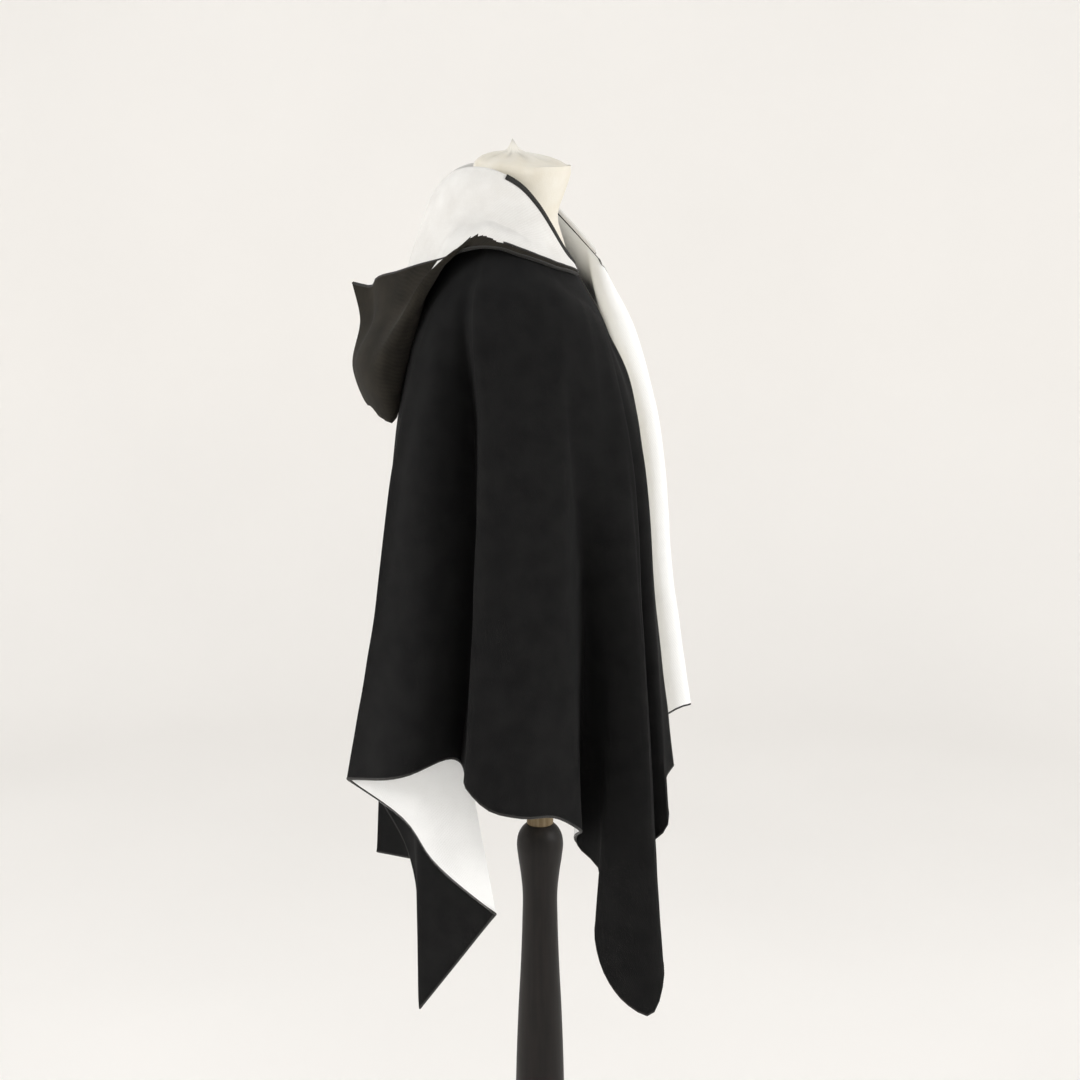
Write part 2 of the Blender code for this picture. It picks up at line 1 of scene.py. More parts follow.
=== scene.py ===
"""Hooded reversible cape on a dress form: the finish of every surface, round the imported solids.

The cape is double-faced fleece, black outside and white inside, with black overlocked edges. It
hangs on a form padded under a cotton jersey cover, on a stand turned from stained beech.

Sizes are in millimetres. A place is (out, fore, up): out runs from the stand's axis to the wearer's
right, fore towards the front, and up from the floor. The scene's X is minus out and its Y is minus
fore, in metres.
"""

from __future__ import annotations

import logging
import math
from collections.abc import Sequence
from dataclasses import dataclass, field
from enum import Enum

import bpy
import numpy as np
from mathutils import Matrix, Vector, noise
from mathutils.bvhtree import BVHTree

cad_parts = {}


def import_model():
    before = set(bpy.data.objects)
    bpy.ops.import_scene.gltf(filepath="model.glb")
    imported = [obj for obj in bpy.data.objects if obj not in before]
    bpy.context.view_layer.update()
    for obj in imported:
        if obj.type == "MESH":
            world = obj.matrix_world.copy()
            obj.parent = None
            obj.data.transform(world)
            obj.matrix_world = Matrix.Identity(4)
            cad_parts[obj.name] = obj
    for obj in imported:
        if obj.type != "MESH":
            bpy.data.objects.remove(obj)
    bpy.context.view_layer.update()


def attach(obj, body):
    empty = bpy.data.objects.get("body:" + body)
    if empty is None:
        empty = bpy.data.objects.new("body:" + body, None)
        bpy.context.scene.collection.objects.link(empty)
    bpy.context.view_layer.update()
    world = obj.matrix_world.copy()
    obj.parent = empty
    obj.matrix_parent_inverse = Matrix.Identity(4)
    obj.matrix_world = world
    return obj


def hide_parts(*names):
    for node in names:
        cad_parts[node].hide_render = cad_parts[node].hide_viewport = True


LOG = logging.getLogger("cape")
MM = 0.001
SMALLEST_LENGTH = 1e-9
SHARP_ANGLE = math.radians(60)  # a piece is shaded smooth up to this angle between its faces

Array = np.ndarray
Row = tuple[float, ...]
Faces = list[tuple[int, ...]]
Band = tuple[Array, Faces]
Socket = bpy.types.NodeSocket


# ------------------------------------------------------------------------------------ node tools


def linear(hex_colour: str) -> tuple[float, float, float, float]:
    """The linear colour of an sRGB hex value.

    Args:
        hex_colour: Six hex digits after a hash.

    Returns:
        Linear red, green, blue and an alpha of 1.
    """
    channels = [int(hex_colour[i : i + 2], 16) / 255 for i in (1, 3, 5)]
    lit = [c / 12.92 if c <= 0.04045 else ((c + 0.055) / 1.055) ** 2.4 for c in channels]
    return (lit[0], lit[1], lit[2], 1.0)


def add_node(
    tree: bpy.types.NodeTree,
    kind: str,
    settings: dict[str, object] | None = None,
    inputs: dict[str | int, object] | None = None,
) -> bpy.types.Node:
    """Add a node with its settings, values and links.

    Args:
        tree: The material's node tree.
        kind: The node's type name.
        settings: Attributes of the node.
        inputs: Values of its inputs, or the sockets that they are linked to.

    Returns:
        The new node.
    """
    node = tree.nodes.new(kind)
    for key, value in (settings or {}).items():
        setattr(node, key, value)
    for key, value in (inputs or {}).items():
        if isinstance(value, Socket):
            tree.links.new(value, node.inputs[key])
        else:
            node.inputs[key].default_value = value
    return node


class Paint:
    """A material with one Principled shader, and the texture nodes that drive it."""

    def __init__(self, name: str) -> None:
        """Start the material.

        Args:
            name: The material's name.
        """
        self.material = bpy.data.materials.new(name)
        self.material.use_nodes = True
        self.tree = self.material.node_tree
        self.shader = self.tree.nodes["Principled BSDF"]
        self.place = add_node(self.tree, "ShaderNodeTexCoord").outputs

    def mapped(self, vector: Socket, **inputs: tuple[float, float, float]) -> Socket:
        """The coordinates, turned or scaled."""
        values = {"Vector": vector, **inputs}
        return add_node(self.tree, "ShaderNodeMapping", inputs=values).outputs["Vector"]

    def noise(self, vector: Socket, scale: float, detail: float) -> Socket:
        """A noise texture of `scale` cells in each metre."""
        inputs = {"Vector": vector, "Scale": scale, "Detail": detail}
        return add_node(self.tree, "ShaderNodeTexNoise", inputs=inputs).outputs["Fac"]

    def bands(self, vector: Socket, direction: str, **inputs: float) -> Socket:
        """A wave texture of parallel bands."""
        settings = {"wave_type": "BANDS", "bands_direction": direction, "wave_profile": "SIN"}
        values = {key.replace("_", " "): value for key, value in inputs.items()}
        values["Vector"] = vector
        return add_node(self.tree, "ShaderNodeTexWave", settings, values).outputs["Fac"]

    def weighted(self, value: Socket, weight: float, added: Socket) -> Socket:
        """The value times its weight, plus another value."""
        inputs = {0: value, 1: weight, 2: added}
        settings = {"operation": "MULTIPLY_ADD"}
        return add_node(self.tree, "ShaderNodeMath", settings, inputs).outputs["Value"]

    def colour(self, factor: Socket, *stops: tuple[float, str]) -> None:
        """Drive the colour by a ramp.

        Args:
            factor: The value that drives it.
            stops: Position and sRGB hex colour of the ramp's two ends.
        """
        ramp = add_node(self.tree, "ShaderNodeValToRGB", inputs={"Fac": factor})
        for element, (position, colour) in zip(ramp.color_ramp.elements, stops):
            element.position = position
            element.color = linear(colour)
        self.tree.links.new(ramp.outputs["Color"], self.shader.inputs["Base Color"])

    def relief(self, *layers: tuple[Socket, float, float]) -> None:
        """Drive the normal by bumps laid over each other.

        Args:
            layers: Height, strength and distance in millimetres of each.
        """
        under: dict[str, object] = {}
        for height, strength, distance in layers:
            inputs = {"Height": height, "Strength": strength, "Distance": distance * MM, **under}
            bump = add_node(self.tree, "ShaderNodeBump", inputs=inputs)
            under = {"Normal": bump.outputs["Normal"]}
        self.tree.links.new(under["Normal"], self.shader.inputs["Normal"])

    def finished(self, **values: object) -> bpy.types.Material:
        """Set the shader's other inputs, with a low line for each space in a name.

        Returns:
            The material.
        """
        for key, value in values.items():
            self.shader.inputs[key.replace("_", " ")].default_value = value
        return self.material


# --------------------------------------------------------------------------------------- finishes


@dataclass(frozen=True)
class FleeceFinish:
    """One face of double-faced fleece: a fine knit, brushed to a short nap.

    The knit gives faint slanted lines, and the nap a soft sheen where the cloth turns away.
    """

    name: str
    dark: str
    light: str
    sheen: float
    knit_mm: float = 2.4  # a real wale is 0.9 mm, drawn coarser so that it shows
    nap_mm: float = 1.1
    pill_mm: float = 26.0
    knit_depth: float = 0.25
    nap_depth: float = 0.45
    slant: float = math.radians(28)
    wave_bands: int = 20  # bands of a wave texture in a length of 2 pi

    def make(self) -> bpy.types.Material:
        """Build the material; the knit lies on the piece's UV map, in metres of cut cloth."""
        paint = Paint(self.name)
        slanted = paint.mapped(paint.place["UV"], Rotation=(0.0, 0.0, self.slant))
        pitch = 2 * math.pi / (self.wave_bands * self.knit_mm * MM)
        knit = paint.bands(slanted, "X", Scale=pitch, Distortion=1.6, Detail=2.0, Detail_Scale=2.0)
        nap = paint.noise(paint.place["Object"], 1 / (self.nap_mm * MM), 3.0)
        clouds = paint.noise(paint.place["Object"], 1 / (self.pill_mm * MM), 4.0)
        shade = paint.weighted(knit, 0.16, paint.weighted(nap, 0.45, clouds))
        paint.colour(shade, (0.45, self.dark), (1.0, self.light))
        paint.relief((knit, self.knit_depth, 0.4), (nap, self.nap_depth, 0.6))
        return paint.finished(
            Roughness=0.95,
            Specular_IOR_Level=0.2,
            Sheen_Weight=self.sheen,
            Sheen_Roughness=0.55,
            Sheen_Tint=linear(self.light),
        )


@dataclass(frozen=True)
class ThreadFinish:
    """Spun polyester overlock thread: dull, with short loose fibres that soften it."""

    name: str = "Overlock thread"
    dark: str = "#0c0b09"
    light: str = "#1c1a16"
    fibre_mm: float = 0.35

    def make(self) -> bpy.types.Material:
        """Build the material."""
        paint = Paint(self.name)
        fibre = paint.noise(paint.place["Object"], 1 / (self.fibre_mm * MM), 2.0)
        paint.colour(fibre, (0.3, self.dark), (0.75, self.light))
        paint.relief((fibre, 0.5, 0.3))
        return paint.finished(Roughness=0.75, Sheen_Weight=0.15)


@dataclass(frozen=True)
class JerseyFinish:
    """Cotton jersey stretched over padding: a fine knit, a little yellowed by age."""

    name: str = "Cotton jersey"
    dark: str = "#dbd4c3"
    light: str = "#ebe8df"
    wale_mm: float = 1.6  # a real wale is 0.8 mm, drawn coarser so that it shows
    stains_per_metre: float = 14.0

    def make(self) -> bpy.types.Material:
        """Build the material."""
        paint = Paint(self.name)
        place = paint.place["Object"]
        inputs = {"Vector": place, "Scale": 1 / (self.wale_mm * MM)}
        wales = add_node(paint.tree, "ShaderNodeTexVoronoi", {"feature": "F1"}, inputs)
        stain = paint.noise(place, self.stains_per_metre, 4.0)
        paint.colour(stain, (0.3, self.dark), (0.6, self.light))
        paint.relief((wales.outputs["Distance"], 0.25, 0.4))
        return paint.finished(Roughness=0.85, Sheen_Weight=0.1)


@dataclass(frozen=True)
class TurnedWoodFinish:
    """Turned beech: grain along the pole, fine turning rings, and a dull waxed face."""

    name: str
    dark: str
    light: str
    roughness: float
    shine: float = 0.2
    grain_mm: float = 5.0
    grain_stretch: float = 0.06  # the grain's scale along the pole, over its scale across it
    ring_scale: float = 110.0

    def make(self) -> bpy.types.Material:
        """Build the material."""
        paint = Paint(self.name)
        along = paint.mapped(paint.place["Object"], Scale=(1.0, 1.0, self.grain_stretch))
        grain = paint.noise(along, 1 / (self.grain_mm * MM), 6.0)
        paint.colour(grain, (0.35, self.dark), (0.7, self.light))
        rings = paint.bands(paint.place["Object"], "Z", Scale=self.ring_scale, Distortion=0.6)
        paint.relief((grain, 0.25, 0.3), (rings, 0.06, 0.2))
        span = {"To Min": self.roughness - 0.06, "To Max": self.roughness + 0.1}
        wax = add_node(paint.tree, "ShaderNodeMapRange", inputs={"Value": grain, **span})
        paint.tree.links.new(wax.outputs["Result"], paint.shader.inputs["Roughness"])
        return paint.finished(Specular_IOR_Level=self.shine)


class Finish(Enum):
    """Every finish of the object."""

    BLACK_FLEECE = FleeceFinish("Fleece, black face", "#070708", "#141414", 0.15)
    # The hood's black face is the cape's fleece, painted lighter and browner as painted light on
    # the hood and pouch.
    LIT_HOOD_FLEECE = FleeceFinish("Fleece, black face, hood, painted light", "#191714", "#2b2822", 0.06)
    # The white face is one fleece in two tones: on the cape it is painted lighter, as painted light
    # on the far front edge.
    LIT_WHITE_FLEECE = FleeceFinish("Fleece, white face", "#f4f5f5", "#fcfdfd", 0.05)
    # On the hood the white face is painted darker, as painted shade.
    SHADED_HOOD_WHITE = FleeceFinish("Fleece, white face, hood, painted shade", "#d9d7d3", "#e7e6e3", 0.05)
    THREAD = ThreadFinish()
    JERSEY = JerseyFinish()
    STAINED = TurnedWoodFinish("Stained beech", "#0c0907", "#1a1513", 0.5, 0.25)
    # The collar's bare beech is painted darker than its own colour, as painted shade under the
    # cape's hem.
    SHADED_BARE_BEECH = TurnedWoodFinish("Bare beech", "#66573f", "#877860", 0.7)


class Palette:
    """The materials, each made once."""

    def __init__(self) -> None:
        """Start with no material made."""
        self.made: dict[Finish, bpy.types.Material] = {}

    def of(self, finish: Finish) -> bpy.types.Material:
        """The material of a finish."""
        if finish not in self.made:
            self.made[finish] = finish.value.make()
        return self.made[finish]


# --------------------------------------------------------------------------------------- geometry


def scene_points(places: Array) -> Array:
    """Scene coordinates in metres of an array of (out, fore, up) places."""
    return np.asarray(places, float) * (-MM, -MM, MM)


def unit(vectors: Array) -> Array:
    """The vectors, each at length 1."""
    return vectors / np.maximum(np.linalg.norm(vectors, axis=-1, keepdims=True), SMALLEST_LENGTH)


def mirrored(places: Array) -> Array:
    """The places on the wearer's other side."""
    return np.asarray(places, float) * (-1, 1, 1)


def smooth_through(knots: Array, marks: Array, at: Array) -> Array:
    """Values of a smooth curve through the knots.

    Args:
        knots: A value for each mark.
        marks: Rising marks of the knots.
        at: The marks at which values are wanted.

    Returns:
        The curve's value at each of `at`.
    """
    knots, marks, at = (np.asarray(given, float) for given in (knots, marks, at))
    steps = np.diff(marks)
    slopes = np.diff(knots, axis=0) / steps[:, None]
    tangents = np.empty_like(knots)
    tangents[0] = slopes[0]
    tangents[-1] = slopes[-1]
    before = steps[1:, None]
    after = steps[:-1, None]
    tangents[1:-1] = (slopes[:-1] * before + slopes[1:] * after) / (before + after)
    cell = np.clip(np.searchsorted(marks, at, side="right") - 1, 0, len(steps) - 1)
    step = steps[cell][:, None]
    t = ((at - marks[cell]) / steps[cell])[:, None]
    return (
        knots[cell] * (2 * t**3 - 3 * t**2 + 1)
        + tangents[cell] * step * (t**3 - 2 * t**2 + t)
        + knots[cell + 1] * (3 * t**2 - 2 * t**3)
        + tangents[cell + 1] * step * (t**3 - t**2)
    )


def lengths_along(points: Array) -> Array:
    """The distance of each point from the first, along the line of points."""
    steps = np.linalg.norm(np.diff(points, axis=0), axis=1)
    return np.concatenate([[0.0], np.cumsum(steps)])


def spaced_curve(
    knots: Sequence[Array], cells: int, roll_length: float = 0.0, roll_cells: int = 0
) -> Array:
    """Points on the smooth curve through the knots, at even distances after a short roll.

    Args:
        knots: The points that the curve goes through.
        cells: The number of steps along it.
        roll_length: Length of the first stretch, which has its own steps.
        roll_cells: The number of steps in that stretch.

    Returns:
        One point more than there are cells.
    """
    places = np.asarray(knots, float)
    marks = lengths_along(places)
    fine = smooth_through(places, marks, np.linspace(0, marks[-1], 40 * len(places)))
    along = lengths_along(fine)
    roll = np.linspace(0, roll_length, roll_cells, endpoint=False)
    at = np.concatenate([roll, np.linspace(roll_length, along[-1], cells - roll_cells + 1)])
    return np.stack([np.interp(at, along, fine[:, axis]) for axis in range(3)], axis=1)


def surface_between(lines: Array, marks: Array, at: Array) -> Array:
    """The places of every line's points at the marks `at`, across the lines."""
    return np.stack([smooth_through(lines[:, j], marks, at) for j in range(lines.shape[1])], axis=1)


def resampled(line: Array, cells: int) -> Array:
    """The line of points, at even distances."""
    along = lengths_along(line)
    at = np.linspace(0, along[-1], cells + 1)
    return np.stack([np.interp(at, along, line[:, axis]) for axis in range(line.shape[1])], axis=1)


def blurred(field_values: Array, rounds: int) -> Array:
    """The grid of vectors, each round set half way to its neighbours' mean."""
    values = field_values.copy()
    for _ in range(rounds):
        padded = np.pad(values, ((1, 1), (1, 1), (0, 0)), mode="edge")
        around = padded[:-2, 1:-1] + padded[2:, 1:-1] + padded[1:-1, :-2] + padded[1:-1, 2:]
        values = values / 2 + around / 8
    return values


def grid_faces(rows: int, columns: int) -> Faces:
    """Quads of a grid of points, seen from the side that its normals face."""
    return [
        (i * columns + j, (i + 1) * columns + j, (i + 1) * columns + j + 1, i * columns + j + 1)
        for i in range(rows - 1)
        for j in range(columns - 1)
    ]


def ring_faces(rings: int, sides: int) -> Faces:
    """Quads between closed rings of points, laid from the bottom up, seen from outside."""
    return [
        (low + side, low + sides + side, low + sides + (side + 1) % sides, low + (side + 1) % sides)
        for low in range(0, (rings - 1) * sides, sides)
        for side in range(sides)
    ]


def search_tree(grid: Array) -> BVHTree:
    """A search tree of a grid of places, facing the way its normals do."""
    places = [Vector(place) for place in grid.reshape(-1, 3)]
    return BVHTree.FromPolygons(places, grid_faces(*grid.shape[:2]))


def cut_lengths(grid: Array) -> Array:
    """Where each point of the grid lies in the flat cut, in metres.

    Args:
        grid: Places, with rows across the cloth and columns down it.

    Returns:
        For each point its distance across the cloth at the widest column, and its distance down it.
    """
    across = np.linalg.norm(np.diff(grid, axis=0), axis=2)
    widest = int(np.argmax(across.sum(axis=0)))
    u = np.concatenate([[0.0], np.cumsum(across[:, widest])])
    down = np.linalg.norm(np.diff(grid, axis=1), axis=2)
    v = np.concatenate([np.zeros((grid.shape[0], 1)), np.cumsum(down, axis=1)], axis=1)
    return np.stack([np.repeat(u[:, None], grid.shape[1], axis=1), v], axis=2) * MM


def finished_mesh(
    name: str,
    points: Array,
    faces: Faces,
    materials: Sequence[bpy.types.Material],
    face_materials: Array | None = None,
    uv: Array | None = None,
) -> bpy.types.Object:
    """A smooth-shaded mesh object, with its place in its mesh.

    Args:
        name: The object's name.
        points: Scene coordinates in metres.
        faces: The corners of each face.
        materials: The object's material slots.
        face_materials: The slot of each face.
        uv: The UV place of each point.

    Returns:
        The new object.
    """
    mesh = bpy.data.meshes.new(name)
    mesh.from_pydata([tuple(p) for p in points], [], faces)
    for finish in materials:
        mesh.materials.append(finish)
    if face_materials is not None:
        mesh.polygons.foreach_set("material_index", np.asarray(face_materials, np.int32))
    if uv is not None:
        corners = np.empty(len(mesh.loops), np.int32)
        mesh.loops.foreach_get("vertex_index", corners)
        layer = mesh.uv_layers.new(name="Cut")
        layer.data.foreach_set("uv", np.asarray(uv, np.float32)[corners].ravel())
    mesh.shade_smooth()
    mesh.set_sharp_from_angle(angle=SHARP_ANGLE)
    mesh.validate()
    obj = bpy.data.objects.new(name, mesh)
    bpy.context.scene.collection.objects.link(obj)
    return obj


def reported(obj: bpy.types.Object, slot: str, *nodes: str) -> bpy.types.Object:
    """Let a finished piece ride on the body, in the place of CAD nodes."""
    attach(obj, "root")
    if nodes:
        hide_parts(*nodes)
    LOG.info("%s: %d faces", obj.name, len(obj.data.polygons))
    return obj


# ------------------------------------------------------------------------------------------ cloth


@dataclass(frozen=True)
class Crease:
    """A soft trough or ridge in the cloth, from one place of the cut to another.

    Places are shares of the panel, across it and down it. A positive height is a ridge.
    """

    start: tuple[float, float]
    end: tuple[float, float]
    height: float
    width: float

    def lift(self, uv: Array) -> Array:
        """How far each point of the grid moves along its normal, in millimetres."""
        size = uv.reshape(-1, 2).max(axis=0)
        start, end = (np.array(place) * size for place in (self.start, self.end))
        run = end - start
        share = np.clip(((uv - start) @ run) / (run @ run), 0, 1)
        nearest = start + share[..., None] * run
        away = np.linalg.norm(uv - nearest, axis=2) / (self.width * MM)
        taper = np.sin(np.pi * np.clip(share * 0.9 + 0.05, 0, 1)) ** 0.7
        return self.height * np.exp(-(away**2)) * taper


@dataclass
class ClothPanel:
    """A sewn piece of cloth, as a closed wall about a grid of places."""

    name: str
    grid: Array
    normals: Array
    outer: Finish
    inner: Finish
    rim: Finish
    wall: float = 2.8
    creases: tuple[Crease, ...] = ()
    unevenness: float = 0.7
    hem_and_shade_band: float | Array = 0.0  # width of the edge band in the inner face's colour, for all rows or for each: a turned-up hem, widened as painted shade on the hood's pouch
    wave_scale: float = 0.022
    uv: Array = field(init=False)

    def __post_init__(self) -> None:
        """Work out the cut, then lay the creases and the small unevenness of hung cloth."""
        self.uv = cut_lengths(self.grid)
        lift = sum((crease.lift(self.uv) for crease in self.creases), np.zeros(self.uv.shape[:2]))
        scaled = self.grid * self.wave_scale
        wave = [[noise.noise(Vector(place)) for place in row] for row in scaled]
        self.grid = self.grid + self.normals * (lift + np.array(wave) * self.unevenness)[..., None]

    def build(self, palette: Palette) -> bpy.types.Object:
        """Make the wall, with a colour on each face and the edge band in the inner one: a turned-up
        hem, and painted shade where the band is widened.

        Args:
            palette: The materials.

        Returns:
            The panel's object.
        """
        rows, columns = self.grid.shape[:2]
        half = self.wall / 2
        outer = (self.grid + self.normals * half).reshape(-1, 3)
        inner = (self.grid - self.normals * half).reshape(-1, 3)
        shift = rows * columns
        front = grid_faces(rows, columns)
        back = [tuple(shift + corner for corner in face[::-1]) for face in front]
        edge = [i * columns for i in range(rows)]
        edge += [(rows - 1) * columns + j for j in range(1, columns)]
        edge += [i * columns + columns - 1 for i in range(rows - 2, -1, -1)]
        edge += list(range(columns - 2, 0, -1))
        sides = [(a, shift + a, shift + b, b) for a, b in zip(edge, edge[1:] + edge[:1])]
        kinds = np.repeat([0, 1, 2], [len(front), len(back), len(sides)])
        to_edge = self.uv[:-1, -1:, 1] - (self.uv[:-1, :-1, 1] + self.uv[:-1, 1:, 1]) / 2
        kinds[: len(front)] = (to_edge < self.hem_and_shade_band * MM).ravel()
        uv = self.uv.reshape(-1, 2)
        return finished_mesh(
            self.name,
            scene_points(np.concatenate([outer, inner])),
            front + back + sides,
            [palette.of(finish) for finish in (self.outer, self.inner, self.rim)],
            kinds,
            np.concatenate([uv, uv]),
        )


@dataclass(frozen=True)
class Overlock:
    """Three-thread overlocking round a cut edge: looper threads over both faces, side by side."""

    width: float = 2.4
    pitch: float = 2.6
    lift: float = 0.2
    ridge: float = 0.25
    slant: float = 0.8
    stations: int = 4  # along the edge for each stitch

    def along(self, line: Array, inwards: Array, normals: Array, half_wall: float) -> Band:
        """The stitches along one edge.

        Args:
            line: Places along the middle of the edge.
            inwards: Unit vectors from the edge into the cloth.
            normals: The cloth's unit normals there.
            half_wall: Half the cloth's thickness.

        Returns:
            Places and faces of the band of stitches.
        """
        cells = max(4, int(round(lengths_along(line)[-1] / self.pitch)) * self.stations)
        frame = resampled(np.concatenate([line, inwards, normals], axis=1), cells)
        line, inwards, normals = frame[:, :3], unit(frame[:, 3:6]), unit(frame[:, 6:])
        high = half_wall + self.lift
        section = (
            (self.width, half_wall - 0.1, 0.0),
            (self.width - 0.5, high, 1.0),
            (self.width * 0.5, high, 1.0),
            (0.3, high - 0.1, 1.0),
            (-self.lift - 0.35, 0.0, 1.0),
            (0.3, 0.1 - high, 1.0),
            (self.width * 0.5, -high, 1.0),
            (self.width - 0.5, -high, 1.0),
            (self.width, 0.1 - half_wall, 0.0),
        )
        phase = np.arange(len(line)) * 2 * math.pi / self.stations
        rings = []
        for place, (depth, height, raised) in enumerate(section):
            swell = self.ridge * raised * (0.5 + 0.5 * np.cos(phase + self.slant * place))
            away = np.sign(height) if height else 0.0
            lifted = line + inwards * (depth - (0 if away else 1) * swell)[:, None]
            rings.append(lifted + normals * (height + away * swell)[:, None])
        grid = np.stack(rings, axis=1)
        return grid.reshape(-1, 3), grid_faces(*grid.shape[:2])


def sewn_band(name: str, bands: Sequence[Band], palette: Palette) -> bpy.types.Object:
    """One object of several bands of stitches.

    Args:
        name: The object's name.
        bands: Places and faces of each band.
        palette: The materials.

    Returns:
        The joined bands.
    """
    places, faces, start = [], [], 0
    for band_places, band_faces in bands:
        places.append(band_places)
        faces += [tuple(start + corner for corner in face) for face in band_faces]
        start += len(band_places)
    points = scene_points(np.concatenate(places))
    return finished_mesh(name, points, faces, [palette.of(Finish.THREAD)])


# ------------------------------------------------------------------------------------- dress form


@dataclass
class DressForm:
    """The padded form in its jersey cover, which is gathered to a tip on the neck."""

    top_up: float = 1497.0
    sides: int = 96
    peak: float = 30.0
    peak_back: float = 11.0  # the gathered tip leans to the back
    crown_tilt: float = 3.5  # the crown is higher at the back
    level_step: float = 9.0
    gathers: int = 11
    # up, centre_fore, half_width, half_depth, squareness
    sections: tuple[Row, ...] = (
        (778, -4, 130, 92, 2.2),
        (786, -5, 140, 100, 2.2),
        (812, -6, 144, 103, 2.2),
        (880, -5, 131, 94, 2.2),
        (985, -2, 112, 80, 2.2),
        (1080, 0, 124, 90, 2.2),
        (1180, 0, 142, 100, 2.2),
        (1250, -4, 150, 98, 2.2),
        (1310, -10, 160, 88, 2.3),
        (1345, -15, 168, 76, 2.4),
        (1366, -19, 160, 67, 2.4),
        (1384, -22, 132, 60, 2.3),
        (1400, -25, 96, 56, 2.2),
        (1416, -28, 70, 54, 2.1),
        (1440, -30, 58, 50, 2.0),
        (1470, -25, 56, 54, 2.0),
        (1490, -21, 58, 56, 2.0),
        (1497, -20, 57, 55, 2.0),
    )
    # share of the neck's width, height over its top
    crown: tuple[Row, ...] = (
        (0.97, 1.5),
        (0.90, 4.5),
        (0.80, 7.5),
        (0.66, 10.0),
        (0.50, 12.0),
        (0.34, 13.6),
        (0.22, 15.0),
        (0.14, 17.5),
        (0.09, 21.0),
    )

    def section(self, up: Array) -> Array:
        """Centre, half width, half depth and squareness at the given heights."""
        table = np.asarray(self.sections, float)
        return smooth_through(table[:, 1:], table[:, 0], np.clip(up, table[0, 0], table[-1, 0])).T

    def level(self, places: Array) -> Array:
        """Under 1 inside the form's section at that height, and over 1 outside it."""
        out, fore, up = places.T
        centre, width, depth, power = self.section(up)
        wide, deep = np.abs(out) / width, np.abs(fore - centre) / depth
        return (wide**power + deep**power) ** (1 / power)

    def kept_off(self, places: Array, clearance: float) -> Array:
        """The places, each moved out until it is `clearance` from the form's surface."""
        places = places.copy()
        for _ in range(6):
            level = self.level(places)
            steps = [self.level(places + step) - self.level(places - step) for step in np.eye(3)]
            slope = np.stack(steps, axis=1) / 2
            steepness = np.maximum(np.linalg.norm(slope, axis=1), 1e-6)
            short = np.clip(clearance - (level - 1) / steepness, 0, 20)
            short[places[:, 2] > self.top_up] = 0
            places += slope * (short / steepness)[:, None]
        return places

    def build(self, palette: Palette) -> bpy.types.Object:
        """Make the cover, with small pulled folds below the gathered tip.

        Args:
            palette: The materials.

        Returns:
            The form's object.
        """
        first, last = self.sections[0][0], self.top_up
        levels = np.linspace(first, last, int((last - first) / self.level_step) + 1)
        turns = np.linspace(0, 2 * math.pi, self.sides, endpoint=False)
        rings = []
        for up in levels:
            centre, width, depth, power = self.section(np.array([up]))[:, 0]
            bend = 2 / power
            out = width * np.sign(np.sin(turns)) * np.abs(np.sin(turns)) ** bend
            fore = centre + depth * np.sign(np.cos(turns)) * np.abs(np.cos(turns)) ** bend
            rings.append(np.stack([out, fore, np.full(self.sides, up)], axis=1))
        centre, width, depth, _ = self.section(np.array([self.top_up]))[:, 0]
        for share, lift in self.crown:
            fold = 1 + 0.05 * (1 - share) * np.cos(self.gathers * turns + 2 * np.sin(3 * turns))
            height = lift + 1.6 * math.sin(math.pi * share) * np.cos(self.gathers * turns + 1.3)
            height -= self.crown_tilt * share * np.cos(turns)
            out = share * width * fold * np.sin(turns)
            fore = centre - self.peak_back * (1 - share) + share * depth * fold * np.cos(turns)
            rings.append(np.stack([out, fore, self.top_up + height], axis=1))
        tip = np.array([[0, centre - self.peak_back, self.top_up + self.peak]])
        underside = np.array([[0, self.sections[0][1], first]])
        faces = ring_faces(len(rings), self.sides)
        edge = (len(rings) - 1) * self.sides
        top = len(rings) * self.sides
        for side in range(self.sides):
            after = (side + 1) % self.sides
            faces.append((edge + side, top, edge + after))
            faces.append((after, top + 1, side))
        points = scene_points(np.concatenate([*rings, tip, underside]))
        obj = finished_mesh("form_cover", points, faces, [palette.of(Finish.JERSEY)])
        return reported(obj, "jersey", "form_body")


